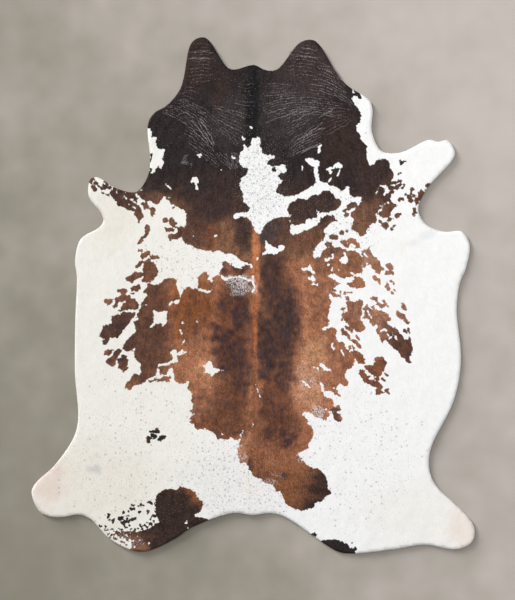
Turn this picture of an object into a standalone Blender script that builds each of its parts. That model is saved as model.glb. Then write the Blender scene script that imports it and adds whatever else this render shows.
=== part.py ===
"""Cowhide rug: one whole hair-on hide in one piece, lying flat with its hair side up.

Metres, +Z up. The origin is on the floor, under the middle of the hide. +Y points to the
neck and +X to the hide's right side, as the animal stood. The underside is the flat flesh
side of the skin, the top is the short lying coat, and the solid holds both.
"""

import math
from collections import namedtuple

import bmesh
import bpy
import numpy as np
from mathutils import Vector
from mathutils.geometry import delaunay_2d_cdt

# Driving dimensions, in metres.
HIDE_LENGTH = 2.322  # neck lobes to rump
HIDE_WIDTH = 1.994  # tip to tip of the hind shanks
CM = 0.01
MM = 0.001

# Mesh steps, in metres.
OUTLINE_STEP = 0.030  # along straight stretches of the outline
OUTLINE_TURN = math.radians(11)  # most that the outline turns between two points
COAT_STEP = 0.070  # between points of the smooth coat
UNDERSIDE_STEP = 0.25  # between points of the flat underside
CREASE_STEP = 0.026  # along a neck crease
CREASE_CLEAR = 0.007  # least distance between two points of the coat
CREASE_WIDTH = 0.0075  # from a crease's crest to where its slope ends

# The outline, clockwise from the nape, seen from above: a row for each stretch, with the
# landmarks of that stretch as (across, along) in centimetres from the middle of the hide.
Stretch = namedtuple("Stretch", "name landmarks")
OUTLINE = (
    Stretch("nape", ((0.2, 103.6), (5.1, 101.5), (8.5, 101.0), (11.6, 102.2))),
    Stretch("right neck lobe", ((20.6, 113.3), (25.1, 115.0), (28.5, 114.0), (39.3, 97.4))),
    Stretch("right cheek", ((43.6, 93.5), (52.3, 87.7), (53.7, 83.6), (53.4, 73.7), (57.8, 64.9))),
    Stretch("right fore shank, front", ((66.3, 64.2), (79.1, 69.9), (83.2, 69.1), (87.5, 69.6))),
    Stretch("right fore shank, back", ((90.7, 64.7), (89.8, 61.1), (77.6, 47.2), (74.3, 38.4))),
    Stretch("right armpit", ((78.1, 31.7), (85.9, 28.6), (94.0, 28.6))),
    Stretch("right shoulder", ((97.4, 22.7), (95.4, 11.2), (93.3, 6.5))),
    Stretch("right flank", ((91.6, -6.1), (93.5, -29.1), (90.4, -46.9), (80.4, -67.6))),
    Stretch("right stifle", ((79.1, -73.9), (79.7, -80.2), (82.5, -85.8))),
    Stretch("right hind shank", ((99.0, -103.1), (98.8, -110.5), (92.2, -114.2), (76.9, -112.2))),
    Stretch("right rump", ((64.7, -114.0), (43.4, -116.1), (37.7, -115.0), (13.9, -99.5))),
    Stretch("tail root", ((7.8, -98.0), (-0.5, -98.8), (-9.1, -97.9))),
    Stretch("left rump", ((-28.4, -104.8), (-34.7, -109.2), (-50.2, -115.3), (-63.5, -110.3))),
    Stretch("left hock", ((-73.2, -100.7), (-78.6, -98.6), (-84.7, -99.6), (-90.5, -99.6))),
    Stretch("left hind shank", ((-95.9, -97.3), (-99.7, -88.9), (-98.2, -84.9), (-88.7, -75.7))),
    Stretch("left flank", ((-79.4, -60.1), (-80.2, -33.6), (-80.0, -10.2), (-79.3, 8.3))),
    Stretch("left shoulder", ((-80.1, 15.9), (-77.5, 25.4), (-69.4, 30.5), (-67.4, 33.7))),
    Stretch("left fore shank", ((-68.4, 37.0), (-74.0, 44.7), (-73.0, 52.4), (-69.8, 53.0))),
    Stretch("left armpit", ((-61.7, 48.2), (-52.5, 46.6), (-47.1, 54.4), (-46.3, 61.4))),
    Stretch("left cheek", ((-47.5, 74.2), (-46.6, 79.1), (-43.9, 82.5), (-39.4, 85.0))),
    Stretch("left neck lobe", ((-32.7, 93.1), (-28.0, 113.1), (-24.6, 115.8), (-21.0, 115.6))),
    Stretch("left of the nape", ((-11.5, 102.4), (-8.2, 101.6))),
)

# Thickness of skin and lying coat together: a row for each section across the hide. The
# skin is thickest along the neck and back and thins towards the belly edges.
Section = namedtuple("Section", "name along_cm back_mm belly_mm")
SECTIONS = (
    Section("neck lobes", 108.0, 5.0, 4.6),
    Section("neck", 85.0, 5.8, 4.8),
    Section("withers", 45.0, 5.6, 4.4),
    Section("loin", -20.0, 5.2, 4.0),
    Section("rump", -70.0, 5.6, 4.4),
    Section("tail end", -105.0, 5.0, 4.2),
)

# The rounded rim, from the floor up: how far each ring lies in from the outline, and how
# high it is as a share of the full thickness there.
Ring = namedtuple("Ring", "name inset_mm height_share")
RIM = (
    Ring("cut edge of the skin", 2.0, 0.0),
    Ring("overhang of the hair", 0.0, 0.42),
    Ring("shoulder of the hair", 3.5, 0.84),
    Ring("full coat", 14.0, 1.0),
)

# The neck's creases: a row for each bundle of near-parallel ones, in centimetres. The first
# and the last crease are given, and the others lie evenly between them. bow_cm is how far
# a crease arches towards the neck's edge at its middle.
Bundle = namedtuple("Bundle", "name count crest_mm bow_cm first last")
CREASES = (
    Bundle("left lobe", 8, 0.9, 0.3, ((-28.6, 110.4), (-18.1, 110.0)), ((-32.6, 93.8), (-17.5, 94.6))),
    Bundle("left lobe root", 6, 1.0, 0.8, ((-34.2, 91.5), (-15.8, 87.5)), ((-41.6, 82.5), (-18.5, 73.5))),
    Bundle("left cheek fan", 5, 1.0, 0.8, ((-38.7, 79.8), (-16.6, 69.4)), ((-31.1, 67.2), (-10.2, 54.0))),
    Bundle("left of the spine", 7, 0.8, 0.3, ((-14.2, 89.2), (-2.4, 86.8)), ((-15.9, 71.0), (-5.5, 66.8))),
    Bundle("right lobe tip", 5, 0.9, 0.4, ((19.1, 110.6), (29.8, 110.4)), ((15.0, 102.6), (33.6, 101.2))),
    Bundle("right lobe arcs", 6, 1.0, 1.2, ((22.0, 101.1), (39.8, 94.4)), ((24.1, 90.2), (45.7, 84.9))),
    Bundle("right of the spine", 5, 0.9, 0.4, ((4.0, 88.8), (21.4, 92.5)), ((4.0, 80.2), (25.9, 87.1))),
    Bundle("right cheek fan", 8, 1.1, 0.5, ((5.8, 76.8), (33.6, 84.9)), ((14.8, 60.0), (33.9, 69.0))),
    Bundle("right cheek", 4, 0.8, 0.3, ((33.9, 82.2), (46.0, 82.0)), ((35.6, 74.5), (46.7, 75.7))),
)
TAPER_SHARE = 0.18  # share of a crease over which each end fades out
STAGGER_SHARE = 0.10  # share of its length by which a crease starts early or late
STAGGER_TURN = 2.4  # radians from one crease's stagger to the next
# The backbone's low ridge, from the nape to the tail root.
BACKBONE_ENDS = ((0.3, 100.0), (0.3, -95.0))
BACKBONE_CREST = 0.0006
BACKBONE_WIDTH = 0.016

# The coat's main colour, linear, and its sheen-free roughness.
COAT_COLOUR = (0.80, 0.78, 0.74, 1.0)
COAT_ROUGHNESS = 0.7


def clear_scene():
    """Remove every object, so that the file holds only the rug."""
    for obj in list(bpy.data.objects):
        bpy.data.objects.remove(obj, do_unlink=True)


def between_landmarks(before, start, end, after, shares):
    """Points of the smooth curve from start to end, at the given shares of the way.

    A centripetal Catmull-Rom span: it passes through its landmarks without looping."""
    near, span, far = (math.sqrt(np.linalg.norm(b - a)) for a, b in
                       ((before, start), (start, end), (end, after)))
    leave = ((start - before) / near - (end - before) / (near + span) + (end - start) / span) * span
    arrive = ((end - start) / span - (after - start) / (span + far) + (after - end) / far) * span
    t = np.asarray(shares)[:, None]
    return (
        (2 * t**3 - 3 * t**2 + 1) * start
        + (t**3 - 2 * t**2 + t) * leave
        + (-2 * t**3 + 3 * t**2) * end
        + (t**3 - t**2) * arrive
    )


def turn_along(points):
    """How far a run of points turns in all, in radians."""
    steps = np.diff(points, axis=0)
    headings = np.unwrap(np.arctan2(steps[:, 1], steps[:, 0]))
    return np.abs(np.diff(headings)).sum()


def outline_points():
    """The hide's outline, clockwise, with more points where it turns."""
    marks = np.array([mark for stretch in OUTLINE for mark in stretch.landmarks]) * CM
    count = len(marks)
    runs = []
    for i in range(count):
        ends = marks[i - 1], marks[i], marks[(i + 1) % count], marks[(i + 2) % count]
        fine = between_landmarks(*ends, np.linspace(0, 1, 17))
        length = np.linalg.norm(np.diff(fine, axis=0), axis=1).sum()
        steps = math.ceil(max(length / OUTLINE_STEP, turn_along(fine) / OUTLINE_TURN))
        runs.append(between_landmarks(*ends, np.arange(steps) / steps))
    points = np.concatenate(runs)
    low, high = points.min(axis=0), points.max(axis=0)
    return (points - (low + high) / 2) * np.array((HIDE_WIDTH, HIDE_LENGTH)) / (high - low)


def inward_normals(outline):
    """Unit vectors that point into the hide at each outline point."""
    along = np.roll(outline, -1, axis=0) - np.roll(outline, 1, axis=0)
    along /= np.linalg.norm(along, axis=1)[:, None]
    return np.stack((along[:, 1], -along[:, 0]), axis=1)


def distance_to_chain(points, starts, ends):
    """For each point: the distance to the nearest of the segments, and which one it is."""
    along = ends - starts
    offset = points[:, None, :] - starts[None]
    share = (offset * along).sum(axis=2) / np.maximum((along**2).sum(axis=1), 1e-12)
    nearest = offset - np.clip(share, 0, 1)[..., None] * along
    distance = np.sqrt((nearest**2).sum(axis=2))
    best = distance.argmin(axis=1)
    rows = np.arange(len(points))
    return distance[rows, best], best + np.clip(share[rows, best], 0, 1)


def inside(points, outline):
    """True for each point that the outline encloses."""
    x, y = points[:, 0][:, None], points[:, 1][:, None]
    x0, y0 = outline.T
    x1, y1 = np.roll(outline, -1, axis=0).T
    crosses = (y0 > y) != (y1 > y)
    rise = np.where(y1 == y0, 1.0, y1 - y0)
    return ((crosses & (x < x0 + (y - y0) / rise * (x1 - x0))).sum(axis=1) % 2).astype(bool)


def crease_row(bundle, place):
    """Points along a bundle's line at this place, which is whole on a crease's crest and
    halfway in the valley between two, in metres. Each one is a flat arc."""
    first, last = np.array(bundle.first) * CM, np.array(bundle.last) * CM
    start, end = first + (last - first) * place / (bundle.count - 1)
    stagger = (end - start) * STAGGER_SHARE * math.sin(STAGGER_TURN * place)
    start, end = start + stagger, end + stagger
    steps = math.ceil(np.linalg.norm(first[1] - first[0]) / CREASE_STEP)
    t = np.linspace(0, 1, steps + 1)[:, None]
    upward = np.array((start[1] - end[1], end[0] - start[0])) / np.linalg.norm(end - start)
    return start + (end - start) * t + upward * bundle.bow_cm * CM * 4 * t * (1 - t)


def backbone_row(offset=0.0):
    """Points along the backbone, or beside it."""
    start, end = np.array(BACKBONE_ENDS) * CM
    steps = math.ceil((start - end)[1] / COAT_STEP)
    return start + (end - start) * np.linspace(0, 1, steps + 1)[:, None] + (offset, 0)


def lift_of(points, line, crest, width):
    """How far one crease raises each point: full at the crest and gone at its ends."""
    distance, place = distance_to_chain(points, line[:-1], line[1:])
    share = place / (len(line) - 1)
    taper = np.clip(np.minimum(share, 1 - share) / TAPER_SHARE, 0, 1)
    return crest * np.sin(taper * math.pi / 2) * np.exp(-((distance / width) ** 2))


def thickness(points):
    """Skin and coat together at each point, from the sections, without creases."""
    rows = SECTIONS[::-1]
    along = np.array([row.along_cm for row in rows]) * CM
    back = np.interp(points[:, 1], along, [row.back_mm * MM for row in rows])
    belly = np.interp(points[:, 1], along, [row.belly_mm * MM for row in rows])
    outward = np.clip(np.abs(points[:, 0]) / (HIDE_WIDTH / 2), 0, 1)
    return belly + (back - belly) * np.cos(outward * math.pi / 2) ** 2


def coat_height(points):
    """Height of the coat's surface at each point, with the neck's creases."""
    lift = lift_of(points, backbone_row(), BACKBONE_CREST, BACKBONE_WIDTH)
    for bundle in CREASES:
        for place in range(bundle.count):
            line = crease_row(bundle, place)
            lift = np.maximum(lift, lift_of(points, line, bundle.crest_mm * MM, CREASE_WIDTH))
    return thickness(points) + lift


def grid_points(step):
    """Points of a triangular grid over the whole hide."""
    rows = math.ceil(HIDE_LENGTH / (step * math.sin(math.pi / 3)))
    columns = math.ceil(HIDE_WIDTH / step)
    points = []
    for row in range(rows + 1):
        for column in range(columns + 1):
            x = (column + 0.5 * (row % 2)) * step - HIDE_WIDTH / 2
            points.append((x, row * step * math.sin(math.pi / 3) - HIDE_LENGTH / 2))
    return np.array(points)


def coat_rows():
    """Rows of points that the coat's edges follow: crests, valleys and the backbone."""
    rows = [backbone_row(offset) for offset in (0, BACKBONE_WIDTH * 1.5, -BACKBONE_WIDTH * 1.5)]
    for bundle in CREASES:
        for half_place in range(-1, 2 * bundle.count):
            rows.append(crease_row(bundle, half_place / 2))
    return rows


def coat_points(rim):
    """Points inside the rim, and the edges between those that follow a row."""
    chosen, edges = np.empty((0, 2)), []

    def kept(points, clear, from_rim):
        """Add the points that lie clear of the rim and of all that is there. The result
        holds each one's number, or None where it was left out."""
        nonlocal chosen
        numbers = []
        fits = inside(points, rim)
        fits &= distance_to_chain(points, rim, np.roll(rim, -1, axis=0))[0] > from_rim
        for point, fit in zip(points, fits):
            if fit and len(chosen):
                fit = np.hypot(*(chosen - point).T).min() > clear
            numbers.append(len(chosen) if fit else None)
            if fit:
                chosen = np.vstack((chosen, point))
        return numbers

    for row in coat_rows():
        numbers = kept(row, CREASE_CLEAR, CREASE_CLEAR)
        edges += [pair for pair in zip(numbers[:-1], numbers[1:]) if None not in pair]
    kept(grid_points(COAT_STEP), COAT_STEP / 2, COAT_STEP / 3)
    return chosen, edges


def triangles_inside(rim, points, edges):
    """Delaunay triangles of the rim and the points in it, along the given edges.

    The result is all the points, the rim's first, and the triangles' corners. A point is
    added where two edges cross."""
    count = len(rim)
    flat = [Vector(point) for point in np.vstack((rim, points))]
    border = [(i, (i + 1) % count) for i in range(count)]
    along = [(start + count, end + count) for start, end in edges]
    found, _, faces, origins, _, _ = delaunay_2d_cdt(flat, border + along, [], 1, 1e-7)
    numbers = []
    for point, origin in zip(found, origins):
        numbers.append(origin[0] if origin else len(flat))
        if not origin:
            flat.append(point)
    return np.array(flat), [[numbers[corner] for corner in face] for face in faces]


def hide_mesh():
    """The closed mesh of the hide: flat underside, rounded rim and creased coat."""
    outline = outline_points()
    inward = inward_normals(outline)
    full = thickness(outline)
    rings = [
        (outline + inward * ring.inset_mm * MM, full * ring.height_share)
        for ring in RIM
    ]
    rim, underside = rings[-1][0], rings[0][0]
    count = len(outline)

    bm = bmesh.new()
    rows = []
    for flat, heights in rings[:-1]:
        rows.append([bm.verts.new((x, y, z)) for (x, y), z in zip(flat, heights)])
    coat, coat_faces = triangles_inside(rim, *coat_points(rim))
    coat_verts = [bm.verts.new((x, y, z)) for (x, y), z in zip(coat, coat_height(coat))]
    rows.append(coat_verts[:count])

    for lower, upper in zip(rows[:-1], rows[1:]):
        for i in range(count):
            j = (i + 1) % count
            bm.faces.new((lower[i], upper[i], upper[j], lower[j]))
    for face in coat_faces:
        bm.faces.new([coat_verts[corner] for corner in face])

    inner = grid_points(UNDERSIDE_STEP)
    inner = inner[inside(inner, underside)]
    clear = distance_to_chain(inner, underside, np.roll(underside, -1, axis=0))[0]
    inner = inner[clear > UNDERSIDE_STEP / 3]
    _, floor_faces = triangles_inside(underside, inner, [])
    floor_verts = rows[0] + [bm.verts.new((x, y, 0)) for x, y in inner]
    for face in floor_faces:
        bm.faces.new([floor_verts[corner] for corner in reversed(face)])

    bmesh.ops.recalc_face_normals(bm, faces=bm.faces)
    bmesh.ops.triangulate(bm, faces=bm.faces)
    mesh = bpy.data.meshes.new("hide")
    bm.to_mesh(mesh)
    bm.free()
    return mesh


def cowhide_material():
    """Short white coat, the hide's main colour."""
    material = bpy.data.materials.new("cowhide")
    material.use_nodes = True
    shader = material.node_tree.nodes["Principled BSDF"]
    shader.inputs["Base Color"].default_value = COAT_COLOUR
    shader.inputs["Roughness"].default_value = COAT_ROUGHNESS
    shader.inputs["Metallic"].default_value = 0.0
    return material


def make_hide():
    """The rug: one hide, in one piece."""
    mesh = hide_mesh()
    mesh.materials.append(cowhide_material())
    mesh.shade_smooth()
    mesh.set_sharp_from_angle(angle=math.radians(40))
    hide = bpy.data.objects.new("hide", mesh)
    bpy.context.scene.collection.objects.link(hide)
    return hide


clear_scene()
make_hide()
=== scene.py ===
# %% [markdown]
# # A hair-on cowhide rug
# This lesson dresses a plain CAD solid of a whole cowhide. The solid already has the right
# outline, thickness and neck folds. What is missing is what makes a hide a hide: the short
# lying coat in three colours, the fine creases, the hairy rim and the suede underside.

# %% Load the frame
from collections import namedtuple

import bmesh
import bpy
import numpy as np
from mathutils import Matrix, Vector
from mathutils.bvhtree import BVHTree
from mathutils.geometry import delaunay_2d_cdt


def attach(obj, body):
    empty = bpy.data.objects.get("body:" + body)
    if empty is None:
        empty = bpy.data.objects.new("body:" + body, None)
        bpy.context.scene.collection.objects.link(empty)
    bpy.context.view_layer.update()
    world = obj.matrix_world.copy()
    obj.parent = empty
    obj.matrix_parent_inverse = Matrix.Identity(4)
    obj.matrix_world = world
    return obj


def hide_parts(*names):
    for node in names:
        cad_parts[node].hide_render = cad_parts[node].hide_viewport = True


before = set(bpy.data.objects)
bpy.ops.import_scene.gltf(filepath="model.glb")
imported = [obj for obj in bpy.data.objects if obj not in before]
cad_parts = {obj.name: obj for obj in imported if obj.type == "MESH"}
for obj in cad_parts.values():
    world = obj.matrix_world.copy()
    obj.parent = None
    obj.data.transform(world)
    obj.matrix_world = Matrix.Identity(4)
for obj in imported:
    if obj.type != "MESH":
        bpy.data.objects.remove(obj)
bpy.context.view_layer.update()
hide_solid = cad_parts["hide"]
MM = 0.001

# %% [markdown]
# ## The camera
# The hide lies flat and is seen from straight above, neck up. A long lens far away shows as
# little of the rim on one side as on the other. The frame is 515 by 600 squares of 4.5 mm,
# and the same squares are used further down to chart the coat.

# %% Camera
SQUARE = 4.5 * MM
FRAME_WIDE, FRAME_HIGH = 515, 600
BACKBONE_COLUMN, MIDDLE_ROW = 253.15, 295.35
CAMERA_HEIGHT = 9.0
SENSOR = 36.0

camera_data = bpy.data.cameras.new("camera")
camera_data.sensor_fit = "VERTICAL"
camera_data.sensor_height = SENSOR
camera_data.lens = SENSOR * CAMERA_HEIGHT / (FRAME_HIGH * SQUARE)
camera_data.clip_end = 40.0
camera = bpy.data.objects.new("camera", camera_data)
camera.location = (
    (FRAME_WIDE / 2 - BACKBONE_COLUMN) * SQUARE,
    (MIDDLE_ROW - FRAME_HIGH / 2) * SQUARE,
    CAMERA_HEIGHT,
)
bpy.context.scene.collection.objects.link(camera)
bpy.context.scene.camera = camera
print("lens in mm:", round(camera_data.lens, 1))

# %% [markdown]
# ## The outline
# The solid is widest a little above the floor, where its faces turn from looking down to
# looking up. That ring of edges is the hide's outline. It is read from the solid, so that
# the coat can't drift away from what it covers, and then rounded between its points.

# %% Read the outline from the solid
SAME_POINT = 0.01 * MM
RIM_STEP = 5.0 * MM
ROUNDING = 8


def widest_ring(solid):
    """The points of the ring where faces that look down meet faces that look up."""
    mesh = bmesh.new()
    mesh.from_mesh(solid.data)
    bmesh.ops.remove_doubles(mesh, verts=mesh.verts, dist=SAME_POINT)
    mesh.normal_update()
    beside = {}
    for edge in mesh.edges:
        ups = [face.normal.z > 0 for face in edge.link_faces]
        if len(ups) == 2 and ups[0] != ups[1]:
            a, b = edge.verts
            beside.setdefault(a.index, []).append(b.index)
            beside.setdefault(b.index, []).append(a.index)
    mesh.verts.ensure_lookup_table()
    start = next(iter(beside))
    walk = [start, beside[start][0]]
    while walk[-1] != start:
        walk.append(next(v for v in beside[walk[-1]] if v != walk[-2]))
    points = np.array([mesh.verts[i].co[:2] for i in walk[:-1]])
    mesh.free()
    return points


def rounded(points, parts):
    """A closed curve through the points, with each stretch cut into that many parts."""
    p0, p1, p2, p3 = (np.roll(points, turn, 0)[:, None, :] for turn in (1, 0, -1, -2))
    t = np.arange(parts)[None, :, None] / parts
    bend, twist = 2 * p0 - 5 * p1 + 4 * p2 - p3, 3 * (p1 - p2) + p3 - p0
    curve = p1 + 0.5 * t * (p2 - p0 + t * (bend + t * twist))
    return curve.reshape(-1, 2)


def even_steps(points, step):
    """A closed chain at even steps along its length."""
    ends = np.vstack([points, points[:1]])
    lengths = np.r_[0, np.cumsum(np.hypot(*np.diff(ends, axis=0).T))]
    marks = np.linspace(0, lengths[-1], int(lengths[-1] / step), endpoint=False)
    return np.stack([np.interp(marks, lengths, ends[:, axis]) for axis in (0, 1)], 1)


def signed_area(points):
    """More than 0 for a chain that runs against the clock."""
    x, y = points.T
    return 0.5 * np.sum(x * np.roll(y, -1) - y * np.roll(x, -1))


outline = widest_ring(hide_solid)
if signed_area(outline) < 0:
    outline = outline[::-1]
outline = even_steps(rounded(outline, ROUNDING), RIM_STEP)

# %% [markdown]
# ## A sheet to paint on
# The coat's patches are charted on the squares, the way a knitter charts a motif:
# columns run to the right, rows run down, and column 253 is the backbone. The chart holds
# shapes and no colours. Each shape is painted, one after another, onto a sheet of small
# cells. A cell keeps how far it lies inside (+) or outside (-) the dark coat, so that an
# edge stays sharp at any size and hair can be laid across it later.

# %% The painting sheet
CELL = SQUARE / 2
REACH = 24 * MM
WAVES = 8
NEARLY_ONE_CELL = 1.001
SHEET_LEFT, SHEET_TOP = -1.03, 1.19
SHEET_WIDE, SHEET_HIGH = int(-2 * SHEET_LEFT / CELL), int(2 * SHEET_TOP / CELL)
CELL_X = SHEET_LEFT + (np.arange(SHEET_WIDE) + 0.5) * CELL
CELL_Y = SHEET_TOP - (np.arange(SHEET_HIGH) + 0.5) * CELL


def chart(text, width):
    """'4 5, 6 7' to rows of so many numbers. The first two become metres on the hide."""
    rows = np.array([[float(n) for n in part.split()] for part in text.split(",")])
    assert rows.shape[1] == width, text
    rows[:, 0] = (rows[:, 0] - BACKBONE_COLUMN) * SQUARE
    rows[:, 1] = (MIDDLE_ROW - rows[:, 1]) * SQUARE
    rows[:, 2:] *= SQUARE
    return rows


def window(xs, ys, far):
    """The slice of the sheet round some places, and its cells' places."""
    left, right = np.searchsorted(CELL_X, (min(xs) - far, max(xs) + far))
    top, bottom = np.searchsorted(-CELL_Y, (-max(ys) - far, -min(ys) + far))
    here = np.s_[max(top - 1, 0) : bottom + 1, max(left - 1, 0) : right + 1]
    return here, CELL_X[None, here[1]], CELL_Y[here[0], None]


def stroke_gap(points, reach=REACH, part=np.s_[:, :]):
    """Distance to a row of dabs (x, y, radius) joined by tapering strokes, below 0 inside."""
    sheet = np.full((SHEET_HIGH, SHEET_WIDE), reach)
    ends = points if len(points) > 1 else np.vstack([points, points])
    for (ax, ay, ar), (bx, by, br) in zip(ends, ends[1:]):
        here, x, y = window((ax, bx), (ay, by), max(ar, br) + reach)
        dx, dy = bx - ax, by - ay
        share = np.clip(((x - ax) * dx + (y - ay) * dy) / max(dx * dx + dy * dy, 1e-12), 0, 1)
        gap = np.hypot(x - ax - share * dx, y - ay - share * dy) - (ar + share * (br - ar))
        sheet[here] = np.minimum(sheet[here], gap)
    return sheet[part]


def walk_gap(points):
    """Distance to the edge of a closed walk, below 0 inside."""
    closed = np.vstack([points, points[:1]])
    sheet = stroke_gap(np.c_[closed, np.zeros(len(closed))])
    turns = np.zeros((SHEET_HIGH, SHEET_WIDE), int)
    for (ax, ay), (bx, by) in zip(closed, closed[1:]):
        rows = np.nonzero((CELL_Y >= min(ay, by)) & (CELL_Y < max(ay, by)))[0]
        if len(rows):
            crossings = ax + (CELL_Y[rows] - ay) * (bx - ax) / (by - ay)
            for row, first in zip(rows, np.searchsorted(CELL_X, crossings)):
                turns[row, first:] += 1
    return np.where(turns % 2 == 1, -sheet, sheet)


def read_sheet(sheet, places):
    """A sheet's values at places, between the four nearest cells."""
    across = np.clip((places[:, 0] - CELL_X[0]) / CELL, 0, SHEET_WIDE - NEARLY_ONE_CELL)
    down = np.clip((CELL_Y[0] - places[:, 1]) / CELL, 0, SHEET_HIGH - NEARLY_ONE_CELL)
    i, j = down.astype(int), across.astype(int)
    s, t = down - i, across - j
    upper = sheet[i, j] * (1 - t) + sheet[i, j + 1] * t
    lower = sheet[i + 1, j] * (1 - t) + sheet[i + 1, j + 1] * t
    return upper * (1 - s) + lower * s


def lumps(places, size, seed):
    """A slow random waviness, mostly from -1.5 to 1.5, of about that wavelength."""
    rng = np.random.default_rng(seed)
    turns, phases = rng.uniform(0, 2 * np.pi, (2, WAVES))
    rates = 2 * np.pi / size * rng.uniform(0.6, 1.5, WAVES)
    x, y = places[:, :1], places[:, 1:2]
    waves = np.sin(rates * (x * np.cos(turns) + y * np.sin(turns)) + phases)
    return waves.sum(1) / np.sqrt(WAVES / 2)


def crumple(size, seed):
    """A sheet of smooth random numbers from -1 to 1, with its knots that far apart."""
    down, across = np.arange(SHEET_HIGH) * CELL / size, np.arange(SHEET_WIDE) * CELL / size
    knots = np.random.default_rng(seed).uniform(-1, 1, (int(down[-1]) + 2, int(across[-1]) + 2))
    i, j = down.astype(int), across.astype(int)
    s, t = (down % 1)[:, None], (across % 1)[None, :]
    s, t = s * s * (3 - 2 * s), t * t * (3 - 2 * t)
    upper = knots[i][:, j] * (1 - t) + knots[i][:, j + 1] * t
    lower = knots[i + 1][:, j] * (1 - t) + knots[i + 1][:, j + 1] * t
    return upper * (1 - s) + lower * s


rim_gap = -walk_gap(outline)
print("sheet:", SHEET_WIDE, "by", SHEET_HIGH, "cells of", CELL / MM, "mm")

# %% [markdown]
# ## The great patches
# Each patch is a short walk round its edge, rounded between its landmarks. Neighbours
# overlap, so the back, neck and rump grow into one dark coat. The blaze on the neck and
# the river over the shoulder are cut out of it in white, and the saddle patch comes last.
# Only the lobes that can be seen from a step away are charted, and hair frays the rest.

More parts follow.
